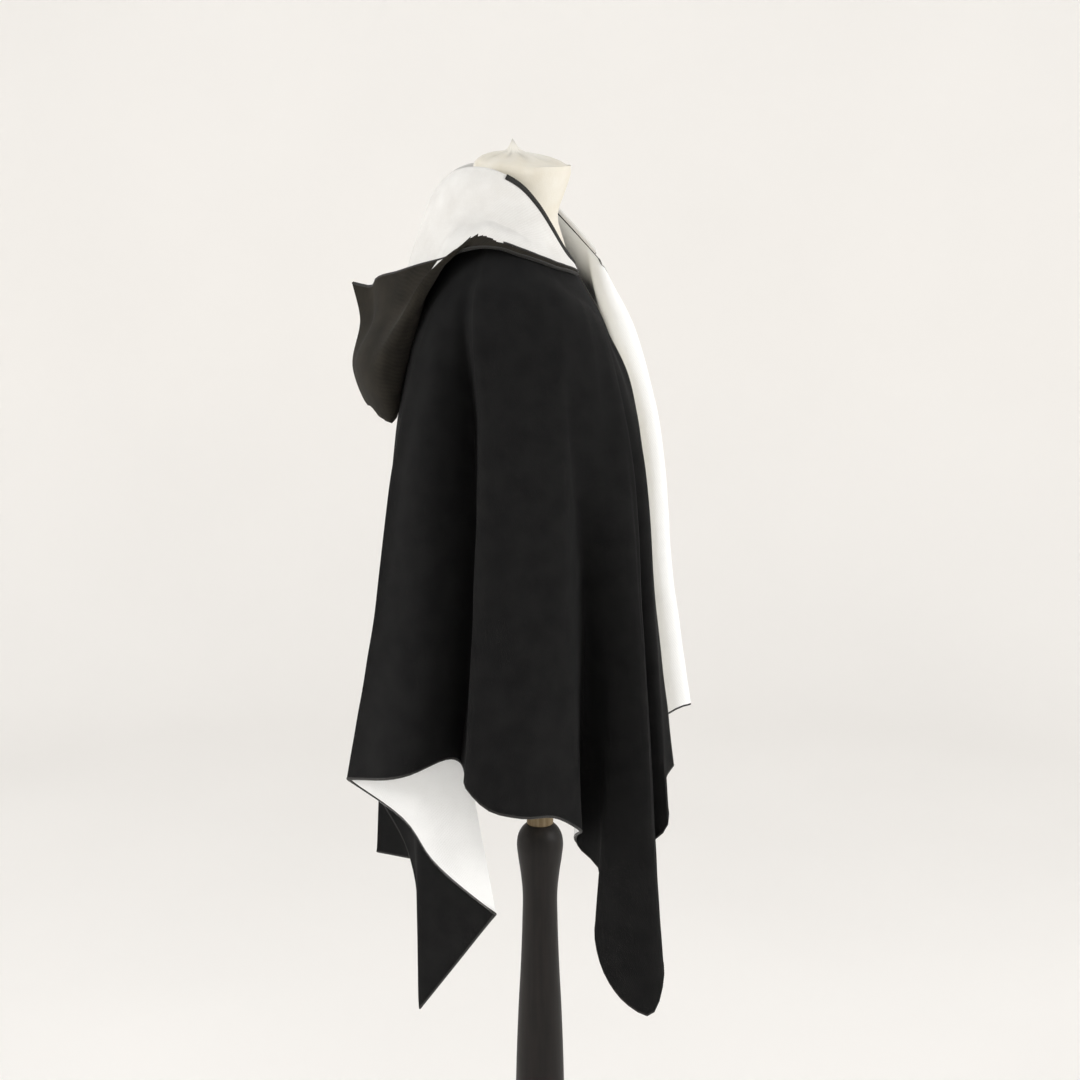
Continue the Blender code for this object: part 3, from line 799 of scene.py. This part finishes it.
@dataclass
class Stand:
    """The turned pole and base, and the collar that carries the form."""

    sides: int = 96
    # up, radius
    pole: tuple[Row, ...] = (
        (34.3, 24.5),
        (52, 28),
        (70, 31),
        (90, 28),
        (110, 21),
        (150, 23),
        (220, 28),
        (300, 30.3),
        (378, 29.8),
        (470, 26.8),
        (540, 23.3),
        (590, 21.6),
        (630, 21.3),
        (655, 23.8),
        (676, 26.8),
        (690, 28),
        (702, 26),
        (710, 21.5),
        (715, 16.5),
    )
    base: tuple[Row, ...] = (
        (0, 168),
        (2, 170),
        (10, 170),
        (18, 166),
        (22, 158),
        (27, 145),
        (31, 100),
        (34, 60),
    )
    collar: tuple[Row, ...] = ((715.3, 15.2), (716.2, 16), (776.8, 16), (777.7, 15.2))

    def turned(
        self, name: str, profile: tuple[Row, ...], between: int, finish: bpy.types.Material
    ) -> bpy.types.Object:
        """Turn a piece on the stand's axis.

        Args:
            name: The object's name.
            profile: Height and radius of each step, from the bottom up.
            between: Rings laid from one step of the profile to the next.
            finish: The piece's material.

        Returns:
            The turned piece.
        """
        table = np.asarray(profile, float)
        steps = np.linspace(0, len(table) - 1, between * (len(table) - 1) + 1)
        marks = lengths_along(table)
        at = np.interp(steps, np.arange(len(table)), marks)
        rings = smooth_through(table, marks, at) * MM
        bpy.ops.object.select_all(action="DESELECT")
        bpy.ops.mesh.primitive_circle_add(
            vertices=self.sides, radius=rings[0][1], fill_type="NGON", location=(0, 0, rings[0][0])
        )
        obj = bpy.context.active_object
        obj.name = obj.data.name = name
        bpy.ops.object.mode_set(mode="EDIT")
        for low, high in zip(rings[:-1], rings[1:]):
            rise = (0, 0, high[0] - low[0])
            bpy.ops.mesh.extrude_region_move(TRANSFORM_OT_translate={"value": rise})
            share = high[1] / low[1]
            bpy.ops.transform.resize(value=(share, share, 1), center_override=(0, 0, high[0]))
        bpy.ops.mesh.select_all(action="SELECT")
        bpy.ops.mesh.normals_make_consistent(inside=False)
        bpy.ops.object.mode_set(mode="OBJECT")
        bpy.ops.object.transform_apply(location=True, rotation=True, scale=True)
        bpy.ops.object.shade_smooth_by_angle(angle=math.radians(40))
        obj.data.materials.append(finish)
        return obj

    def build(self, palette: Palette) -> None:
        """Turn the three pieces.

        Args:
            palette: The materials.
        """
        # the collar takes the beech painted darker, as painted shade under the hem
        wood, bare = palette.of(Finish.STAINED), palette.of(Finish.SHADED_BARE_BEECH)
        reported(self.turned("turned_pole", self.pole, 6, wood), "wood", "stand_pole")
        reported(self.turned("turned_base", self.base, 3, wood), "wood", "stand_base")
        reported(self.turned("turned_collar", self.collar, 1, bare), "bare_wood", "stand_collar")


# ------------------------------------------------------------------------------------------- cape


NECK_RIGHT: tuple[Row, ...] = (
    (48, 41, 1381),
    (57, 26, 1401),
    (64, 13, 1424),
    (68, -4, 1452),
    (70, -22, 1472),
    (67, -42, 1483),
    (52, -68, 1488),
    (30, -88, 1483),
    (0, -103, 1472),
)
NECK_LEFT: tuple[Row, ...] = (
    (36, 69, 1388),
    (46, 47, 1412),
    (58, 22, 1438),
    (67, -2, 1460),
    *NECK_RIGHT[4:],
)


def neck_seam(rows: Sequence[Row], shares: Sequence[float]) -> Array:
    """Places at the given shares of the length of one side's neck seam."""
    places = np.asarray(rows, float)
    marks = lengths_along(places)
    return smooth_through(places, marks / marks[-1], np.asarray(shares, float))


@dataclass
class Cape:
    """The two fronts and the back, hung from the neck seam in folds."""

    form: DressForm
    chest_up: float = 1230.0
    waist_up: float = 1000.0
    length_cells: int = 90
    cell_across: float = 9.0
    rest_gap: float = 1.0
    wall: float = 2.8
    # name, neck share, shoulder out fore up, chest out fore, waist out fore, hem out fore up
    folds_right: tuple[tuple, ...] = (
        ("front_edge", 0.00, 66, 98, 1268, 80, 106, 90, 131, 95, 153, 820),
        ("edge_dip", 0.025, 75, 88, 1281, 94, 104, 112, 129, 120, 142, 811),
        ("edge_ridge", 0.05, 84, 70, 1322, 110, 100, 130, 125, 154, 144, 770),
        ("edge_valley", 0.10, 98, 62, 1333, 130, 84, 124, 88, 104, 72, 700),
        ("corner_front", 0.165, 114, 58, 1342, 154, 91, 184, 113, 192, 140, 605),
        ("front_corner", 0.19, 122, 54, 1345, 162, 84, 192, 109, 200, 121, 559),
        ("corner_tip", 0.207, 126, 51, 1347, 166, 78, 193, 103, 197, 100, 570),
        ("corner_hem", 0.225, 131, 48, 1349, 170, 71, 192, 94, 192, 78, 596),
        ("corner_side", 0.243, 136, 45, 1351, 174, 65, 189, 84, 184, 63, 644),
        ("corner_turn", 0.26, 140, 42, 1352, 178, 58, 184, 74, 176, 67, 688),
        ("corner_back", 0.295, 146, 35, 1356, 184, 48, 174, 62, 158, 67, 720),
        ("corner_valley", 0.33, 152, 28, 1360, 190, 38, 164, 52, 138, 48, 733),
        ("side_ridge_front", 0.40, 163, 10, 1368, 206, 20, 236, 28, 228, 40, 793),
        ("front_dip", 0.44, 168, -2, 1372, 215, 2, 250, 6, 262, 14, 818),
        ("side_ridge", 0.49, 172, -20, 1375, 222, -20, 260, -22, 290, -19, 827),
        ("side_turn", 0.54, 174, -44, 1375, 223, -44, 261, -48, 294, -54, 837),
        ("side_ridge_back", 0.59, 172, -65, 1372, 214, -63, 250, -71, 286, -78, 859),
        ("side_seam", 0.612, 166, -70, 1371, 194, -64, 224, -69, 246, -80, 861),
        ("side_valley", 0.635, 158, -76, 1370, 168, -70, 192, -72, 204, -87, 860),
        ("back_rise", 0.66, 155, -86, 1368, 184, -92, 216, -98, 234, -102, 874),
        ("back_ridge", 0.69, 150, -97, 1364, 192, -115, 234, -126, 262, -139, 866),
        ("back_turn", 0.74, 140, -114, 1352, 158, -149, 186, -184, 188, -213, 835),
        ("tuck_start", 0.757, 133, -119, 1348, 147, -151, 184, -162, 193, -152, 791),
        ("tuck", 0.778, 125, -124, 1344, 137, -152, 179, -137, 200, -119, 744),
        ("tuck_turn", 0.815, 108, -130, 1338, 118, -153, 166, -108, 200, -50, 680),
        ("back_corner", 0.86, 86, -133, 1336, 92, -154, 124, -142, 152, -138, 545),
        ("middle_valley", 0.91, 60, -135, 1335, 62, -156, 80, -158, 104, -151, 717),
        ("middle_ridge", 0.95, 32, -137, 1335, 32, -158, 38, -184, 40, -204, 800),
    )
    folds_left: tuple[tuple, ...] = (
        ("front_edge", 0.00, 46, 95, 1331, 51, 128, 63, 156, 74, 179, 843),
        ("edge_turn", 0.012, 38, 99, 1331, 43, 132, 55, 160, 65, 183, 844),
        ("edge_fold", 0.024, 34, 91, 1332, 38, 124, 49, 152, 59, 175, 844),
        ("edge_ridge", 0.06, 42, 72, 1336, 52, 101, 64, 124, 77, 140, 814),
        ("edge_valley", 0.11, 80, 72, 1338, 94, 90, 106, 100, 112, 98, 712),
        ("front_corner", 0.19, 115, 58, 1345, 154, 86, 184, 112, 196, 124, 566),
        ("corner_turn", 0.26, 138, 42, 1352, 176, 58, 188, 72, 182, 66, 650),
        ("corner_valley", 0.33, 152, 26, 1360, 194, 34, 170, 44, 150, 44, 742),
        ("side_ridge_front", 0.41, 164, 6, 1368, 206, 16, 236, 26, 232, 34, 790),
        ("side_ridge", 0.49, 172, -18, 1375, 218, -28, 256, -30, 284, -34, 828),
        ("side_ridge_back", 0.56, 172, -44, 1374, 212, -64, 246, -78, 272, -92, 856),
        ("side_seam", 0.62, 164, -64, 1370, 178, -92, 188, -104, 204, -112, 856),
        ("back_ridge", 0.68, 154, -86, 1364, 186, -118, 224, -138, 244, -168, 834),
        ("back_turn", 0.74, 140, -108, 1352, 150, -150, 176, -191, 176, -233, 789),
        ("corner_fold", 0.78, 126, -120, 1344, 136, -154, 156, -186, 150, -193, 690),
        ("back_corner", 0.82, 108, -129, 1339, 118, -154, 134, -184, 128, -207, 629),
        ("tuck_turn", 0.87, 84, -133, 1336, 90, -155, 102, -160, 104, -165, 630),
        ("middle_valley", 0.92, 58, -135, 1335, 60, -157, 68, -164, 70, -162, 740),
        ("middle_ridge", 0.96, 32, -137, 1335, 32, -158, 36, -182, 36, -202, 804),
    )
    middle_back: tuple = ("middle_back", 1.00, 0, -138, 1335, 0, -159, 0, -184, 0, -198, 812)
    sharp_folds: tuple[str, ...] = ("back_turn", "tuck_turn", "back_corner")
    sink: float = 0.16  # how far a fold sags between neck and shoulder, as a share of its drop
    whole_sink_from: float = 0.15  # the neck share from which it sags that far
    coarse_cells: int = 20  # in which the folds' spacing is measured
    grid: Array = field(init=False)
    normals: Array = field(init=False)

    def fold_line(self, row: tuple, seam: Sequence[Row], cells: int) -> Array:
        """The line that one fold follows from the neck seam to the hem."""
        neck = neck_seam(seam, [row[1]])[0]
        shoulder = np.array(row[2:5], float)
        slope = neck + (shoulder - neck) * 0.5
        slope[2] -= self.sink * min(1.0, row[1] / self.whole_sink_from) * (neck[2] - shoulder[2])
        chest, waist = (*row[5:7], self.chest_up), (*row[7:9], self.waist_up)
        return spaced_curve([neck, slope, shoulder, chest, waist, row[9:12]], cells)

    def lines(self, cells: int) -> Array:
        """Every fold line, from the right front edge round the back to the left front edge."""
        right = [self.fold_line(row, NECK_RIGHT, cells) for row in self.folds_right]
        middle = [self.fold_line(self.middle_back, NECK_RIGHT, cells)]
        left = [self.fold_line(row, NECK_LEFT, cells) for row in reversed(self.folds_left)]
        return np.array(right + middle + [mirrored(line) for line in left])

    def drape(self) -> list[tuple[str, int, int]]:
        """Lay the whole cape as one grid.

        Returns:
            Each piece's name with its first and last row of the grid.
        """
        folds = (*self.folds_right, self.middle_back, *reversed(self.folds_left))
        names = [fold[0] for fold in folds]
        lower = self.lines(self.coarse_cells)[:, self.coarse_cells // 2 :]
        steps = np.linalg.norm(np.diff(lower, axis=0), axis=2).mean(axis=1)
        marks = np.concatenate([[0.0], np.cumsum(steps)])
        lines = self.lines(self.length_cells)
        cells = np.maximum(2, np.round(np.diff(marks) / self.cell_across)).astype(int)
        rows = np.concatenate([[0], np.cumsum(cells)])
        sharp = [place for place, name in enumerate(names) if name in self.sharp_folds]
        bounds = [0, *sharp, len(lines) - 1]
        spans = []
        for first, last in zip(bounds, bounds[1:]):
            at = [marks[first]]
            for line in range(first, last):
                at += list(np.linspace(marks[line], marks[line + 1], cells[line] + 1)[1:])
            span = surface_between(lines[first : last + 1], marks[first : last + 1], np.array(at))
            spans.append(span if first == 0 else span[1:])
        grid = np.concatenate(spans)
        clearance = self.rest_gap + self.wall / 2
        self.grid = self.form.kept_off(grid.reshape(-1, 3), clearance).reshape(grid.shape)
        around = np.gradient(self.grid, axis=0)
        normals = unit(np.cross(around, np.gradient(self.grid, axis=1)))
        normals[:, 0] = unit(np.cross(around[:, 0], (0, 0, -1)))
        self.normals = unit(blurred(normals, 2))
        right, left = (rows[place] for place, name in enumerate(names) if name == "side_seam")
        return [
            ("cape_front_right", 0, right),
            ("cape_back", right, left),
            ("cape_front_left", left, rows[-1]),
        ]

    def build(self, palette: Palette) -> None:
        """Make the three panels and the stitches along their open edges.

        Args:
            palette: The materials.
        """
        spans = self.drape()
        creases = {
            "cape_front_right": (
                Crease((0.40, 0.30), (0.36, 0.95), -5.0, 20),
                Crease((0.20, 0.42), (0.14, 0.98), 1.6, 14),
            ),
            "cape_back": (Crease((0.12, 0.3), (0.16, 0.7), -1.5, 20),),
            "cape_front_left": (Crease((0.6, 0.3), (0.66, 0.9), -1.8, 20),),
        }
        for name, first, last in spans:
            rows = slice(first, last + 1)
            panel = ClothPanel(
                f"{name}_cloth",
                self.grid[rows],
                self.normals[rows],
                Finish.BLACK_FLEECE,
                # the cape's white face, painted lighter as painted light
                Finish.LIT_WHITE_FLEECE,
                Finish.THREAD,
                self.wall,
                creases[name],
            )
            cloth = reported(panel.build(palette), "fleece", name)
            bands = self.bands(panel, first == 0, last == len(self.grid) - 1)
            overlock = reported(sewn_band(f"{name}_overlock", bands, palette), "fleece")

    def bands(self, panel: ClothPanel, right_edge: bool, left_edge: bool) -> list[Band]:
        """The bands of stitches along a panel's hem and open front edge."""
        grid, normals, half = panel.grid, panel.normals, self.wall / 2
        stitches = Overlock()
        bands = [stitches.along(grid[:, -1], unit(grid[:, -3] - grid[:, -1]), normals[:, -1], half)]
        for shown, edge, inside in ((right_edge, 0, 2), (left_edge, -1, -3)):
            if shown:
                inwards = unit(grid[inside] - grid[edge])
                bands.append(stitches.along(grid[edge], inwards, normals[edge], half))
        return bands


# ------------------------------------------------------------------------------------------- hood


@dataclass
class Hood:
    """The hood, turned over from the neck seam, with its pouch hanging behind."""

    cape: Cape
    cells: int = 64
    deep_cells: int = 96
    roll_rise: float = 3.0
    roll_radius: float = 4.5
    roll_length: float = 18.0
    roll_cells: int = 12
    whole_roll_from: float = 60.0
    swell_share: float = 0.35  # where the hood swells over its edge on the shoulder
    swell_rise: float = 6.0
    throat_share: float = 0.6
    throat_in: float = 9.0
    left_sag: float = 16.0  # the edge hangs lower on the wearer's left
    neck_gap: float = 1.4
    rest_gap: float = 0.8
    pushes: int = 6
    wall: float = 2.8
    hem: float = 8.0
    hem_to: float = 0.46  # the share of the panel's edge along which its hem lies face up
    # shares of the panel's edge, and how wide the black band is there: the turned-up hem, widened
    # from 8 to 18 mm along the pouch's edge as painted shade
    hem_and_shade_widths: tuple[Row, Row] = ((0.0, 0.46, 0.54, 0.75, 1.0), (8.0, 8.0, 18.0, 18.0, 8.0))
    hem_stitch_width: float = 1.8
    hem_half: float = 0.4
    creases: tuple[Crease, ...] = (
        Crease((0.30, 0.11), (0.52, 0.14), -2.0, 14),
        Crease((0.30, 0.18), (0.50, 0.22), 3.0, 12),
    )
    allowance_to: float = 0.55  # the share of the neck seam along which its allowance shows
    allowance_width: float = 5.6
    allowance_half: float = 0.5
    allowance_lean: float = 0.9  # how far it leans out from the cloth's own normal
    # neck share, saddle, rim
    collar: tuple[Row, ...] = (
        (0.03, 60, 39, 1382, 71, 39, 1378),
        (0.116, 77, 26, 1393, 98, 22, 1385),
        (0.228, 89, 8, 1410, 120, 2, 1395),
        (0.364, 97, -14, 1428, 130, -22, 1406),
        (0.476, 99, -38, 1438, 132, -46, 1414),
        (0.564, 94, -62, 1441, 127, -70, 1414),
    )
    # neck share, saddle, deep, bottom, belly, rim
    pouch: tuple[Row, ...] = (
        (0.61, 90, -76, 1440, 112, -92, 1416, 124, -96, 1404, 127, -94, 1410, 122, -88, 1410),
        (0.66, 84, -88, 1438, 112, -112, 1398, 132, -120, 1372, 138, -122, 1384, 116, -104, 1404),
        (0.75, 66, -108, 1432, 100, -136, 1340, 130, -148, 1282, 142, -156, 1322, 102, -130, 1396),
        (0.84, 46, -124, 1426, 84, -150, 1310, 122, -162, 1226, 136, -180, 1284, 80, -156, 1386),
        (0.92, 24, -133, 1422, 46, -163, 1314, 80, -184, 1232, 84, -202, 1281, 44, -182, 1375),
        (0.96, 12, -136, 1421, 22, -165, 1316, 38, -195, 1231, 40, -208, 1275, 20, -190, 1364),
        (1.00, 0, -137, 1420, 0, -166, 1320, 0, -200, 1229, 0, -214, 1267, 0, -213, 1366),
    )

    def line(self, seam: Sequence[Row], row: Row, sag: float) -> Array:
        """The line of the hood's cloth from the neck seam to the edge of its opening.

        Args:
            seam: The side's neck seam.
            row: A row of the collar or the pouch.
            sag: How far the pouch's edge hangs below its row, between the ends of the pouch.

        Returns:
            Places along the line.
        """
        start = neck_seam(seam, [row[0]])[0]
        start[2] += self.neck_gap
        spots = np.array(row[1:], float).reshape(-1, 3)
        saddle, rim = spots[0], spots[-1]
        away = (saddle - start) * (1, 1, 0)
        share = min(1.0, float(np.linalg.norm(rim - start)) / self.whole_roll_from)
        away *= share / np.linalg.norm(away)
        up = np.array([0, 0, share])
        knots = [
            start,
            start + self.roll_rise * up,
            start + self.roll_radius * away + (self.roll_rise + self.roll_radius) * up,
            start + 2 * self.roll_radius * away + self.roll_rise * up,
            saddle,
        ]
        if len(spots) == 2:
            swell = rim + (saddle - rim) * self.swell_share
            swell[2] += self.swell_rise * share
            knots.append(swell)
        else:
            first = self.pouch[0][0]
            rim[2] -= sag * math.sin(math.pi * (row[0] - first) / (1 - first))
            belly = spots[3]
            throat = belly + (rim - belly) * self.throat_share
            inwards = (saddle - throat) * (1, 1, 0)
            throat += inwards / np.linalg.norm(inwards) * self.throat_in
            knots += [spots[1], spots[2], belly, throat]
        roll = self.roll_length * share
        return spaced_curve([*knots, rim], self.deep_cells, roll, self.roll_cells)

    def grid(self, seam: Sequence[Row], sag: float) -> Array:
        """One panel's grid of places, from its front corner to the middle seam."""
        rows = (*self.collar, *self.pouch)
        lines = np.array([self.line(seam, row, sag) for row in rows])
        shares = np.array([row[0] for row in rows])
        return surface_between(lines, shares, np.linspace(shares[0], shares[-1], self.cells + 1))

    def kept_off_cape(self, grid: Array, tree: BVHTree) -> Array:
        """The grid, moved off the cape by smooth pushes until the two walls are clear."""
        clearance = self.wall + self.rest_gap
        moved = grid.copy()
        for _ in range(self.pushes):
            push = np.zeros_like(moved)
            for i, j in np.ndindex(moved.shape[0], moved.shape[1] - 1):
                column = j + 1
                near, normal, _, distance = tree.find_nearest(Vector(moved[i, column]))
                wanted = clearance * min(1.0, column / self.roll_cells)
                short = wanted - (Vector(moved[i, column]) - near).dot(normal)
                if 0 < short and distance < 4 * clearance:
                    push[i, column] = np.array(normal) * short
            spread = blurred(push, 6)
            larger = np.linalg.norm(spread, axis=2) > np.linalg.norm(push, axis=2)
            moved += np.where(larger[..., None], spread, push)
        return moved

    def build(self, palette: Palette) -> None:
        """Make the two panels, the stitches on their edges and the neck seam's stitches.

        Args:
            palette: The materials.
        """
        tree = search_tree(self.cape.grid)
        places = np.arange(self.cells)[:, None] / self.cells
        # the black band: the turned-up hem, widened along the pouch's edge as painted shade
        hem_and_shade_widths = np.interp(places, *self.hem_and_shade_widths)
        for name, flip in (("hood_right", False), ("hood_left", True)):
            grid = self.grid(NECK_LEFT, self.left_sag) if flip else self.grid(NECK_RIGHT, 0.0)
            if flip:
                grid = mirrored(grid)[::-1]
            grid = self.kept_off_cape(grid, tree)
            middle = 0 if flip else -1
            grid[middle, :, 0] = 0
            around = np.gradient(grid, axis=0)
            normals = np.cross(around, np.gradient(grid, axis=1))
            normals[:, 0] = np.cross(around[:, 0], (0, 0, 1))
            normals[middle, :, 0] = 0
            normals = unit(blurred(unit(normals), 2))
            panel = ClothPanel(
                f"{name}_cloth",
                grid,
                normals,
                # the hood's faces: the white painted darker as painted shade, the black painted
                # lighter as painted light
                Finish.SHADED_HOOD_WHITE,
                Finish.LIT_HOOD_FLEECE,
                Finish.THREAD,
                self.wall,
                () if flip else self.creases,
                hem_and_shade_band=0.0 if flip else hem_and_shade_widths,
            )
            cloth = reported(panel.build(palette), "hood_fleece", name)
            bands = self.bands(panel, flip)
            overlock = reported(sewn_band(f"{name}_overlock", bands, palette), "hood_fleece")

    def bands(self, panel: ClothPanel, flip: bool) -> list[Band]:
        """The bands of stitches on one panel; on the left, those on the pouch's edge alone."""
        grid, normals, half = panel.grid, panel.normals, self.wall / 2
        seen = slice(0, int((1 - self.hem_to) * self.cells)) if flip else slice(0, None)
        stitches = Overlock()
        inwards = unit(grid[seen, -3] - grid[seen, -1])
        bands = [stitches.along(grid[seen, -1], inwards, normals[seen, -1], half)]
        if not flip:
            bands.append(stitches.along(grid[0], unit(grid[2] - grid[0]), normals[0], half))
            bands += [self.hem_stitches(panel), self.neck_band(grid, normals)]
        return bands

    def hem_stitches(self, panel: ClothPanel) -> Band:
        """The overlocked edge of the turned-up hem, on the outer face."""
        rows = slice(0, int(self.hem_to * self.cells))
        downs = panel.uv[rows, :, 1]
        line, inwards, normals = [], [], []
        for places, facing, down in zip(panel.grid[rows], panel.normals[rows], downs):
            at = down[-1] - self.hem * MM
            line.append([np.interp(at, down, places[:, axis]) for axis in range(3)])
            column = int(np.searchsorted(down, at))
            normals.append(facing[column])
            inwards.append(unit(places[column - 2] - places[column]))
        line = np.array(line) + np.array(normals) * (self.wall / 2 + self.hem_half)
        stitches = Overlock(width=self.hem_stitch_width)
        return stitches.along(line, np.array(inwards), np.array(normals), self.hem_half)

    def neck_band(self, grid: Array, normals: Array) -> Band:
        """The neck seam's overlocked allowance, which shows on the roll behind the corner."""
        crest = self.roll_cells * 2 // 3
        shown = slice(0, int(self.allowance_to * self.cells))
        up = normals[shown, crest]
        line = grid[shown, crest] + up * (self.wall / 2 + self.allowance_half)
        facing = unit(up + (self.allowance_lean, 0, 0))
        inwards = grid[shown, crest + 2] - grid[shown, crest]
        inwards = unit(inwards - facing * np.sum(inwards * facing, axis=1, keepdims=True))
        stitches = Overlock(width=self.allowance_width)
        line = line - inwards * self.allowance_width / 2
        return stitches.along(line, inwards, facing, self.allowance_half)


# ------------------------------------------------------------------------------------------ studio


@dataclass
class Studio:
    """A plain pale sweep, soft lights and the camera."""

    camera_at: tuple[float, float, float] = (-2.4, 0.0, 1.6)
    aimed_at: tuple[float, float, float] = (0.0, 0.0, 1.065)
    lens: float = 70.05
    # name, place in metres, size, watts, colour
    lamps: tuple[tuple, ...] = (
        ("back_softbox", (-1.0, 2.7, 2.2), 1.3, 43, "#fffefd"),
        ("front_softbox", (-1.0, -2.7, 2.2), 1.3, 42, "#fffefd"),
        ("fill", (-2.9, -0.4, 1.8), 1.6, 3, "#fffefc"),
    )
    room_hex: str = "#f4f6f9"
    room_light: float = 0.6

    def sweep(self) -> None:
        """A floor that curves up to a wall behind the part, as round as a bowl on every side."""
        reach, corner, height = 3.6, 0.9, 4.6
        quarter = np.linspace(0, math.pi / 2, 12)
        bends, lifts = reach - corner + corner * np.sin(quarter), corner - corner * np.cos(quarter)
        profile = [(0.4, 0.0), *zip(bends, lifts), (reach, height)]
        sides = 96
        turns = np.linspace(0, 2 * math.pi, sides, endpoint=False)
        points = [(r * math.cos(t), r * math.sin(t), z) for r, z in profile for t in turns]
        points.append((0.0, 0.0, 0.0))
        faces = [face[::-1] for face in ring_faces(len(profile), sides)]
        faces += [(len(points) - 1, side, (side + 1) % sides) for side in range(sides)]
        paint = Paint("Painted sweep")
        mottle = paint.noise(paint.place["Object"], 1.2, 2.0)
        paint.colour(mottle, (0.3, "#f9f7f4"), (0.7, "#fcfaf7"))
        made = paint.finished(Roughness=0.95)
        finished_mesh("sweep", np.array(points), faces, [made])

    def aimed(self, name: str, data: bpy.types.ID, at: Row) -> bpy.types.Object:
        """A lamp or camera, aimed at the part's middle."""
        obj = bpy.data.objects.new(name, data)
        obj.location = at
        aim = Vector(self.aimed_at) - Vector(at)
        obj.rotation_euler = aim.to_track_quat("-Z", "Y").to_euler()
        bpy.context.scene.collection.objects.link(obj)
        return obj

    def build(self) -> None:
        """Set the sweep, the lamps, the ambient light and the camera."""
        self.sweep()
        for name, at, size, watts, hex_colour in self.lamps:
            lamp = bpy.data.lights.new(name, "AREA")
            lamp.shape, lamp.size, lamp.energy = "DISK", size, watts
            lamp.color = linear(hex_colour)[:3]
            self.aimed(name, lamp, at)
        world = bpy.data.worlds.new("Soft room")
        world.use_nodes = True
        background = world.node_tree.nodes["Background"]
        background.inputs["Color"].default_value = linear(self.room_hex)
        background.inputs["Strength"].default_value = self.room_light
        bpy.context.scene.world = world
        lens = bpy.data.cameras.new("Camera")
        lens.lens, lens.sensor_width = self.lens, 36.0
        bpy.context.scene.camera = self.aimed("Camera", lens, self.camera_at)
        bpy.context.scene.view_settings.view_transform = "Standard"


def main() -> None:
    """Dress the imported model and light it."""
    logging.basicConfig(level=logging.INFO, format="%(name)s: %(message)s")
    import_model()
    palette = Palette()
    form = DressForm()
    form.build(palette)
    Stand().build(palette)
    cape = Cape(form)
    cape.build(palette)
    Hood(cape).build(palette)
    Studio().build()


if __name__ == "__main__":
    main()
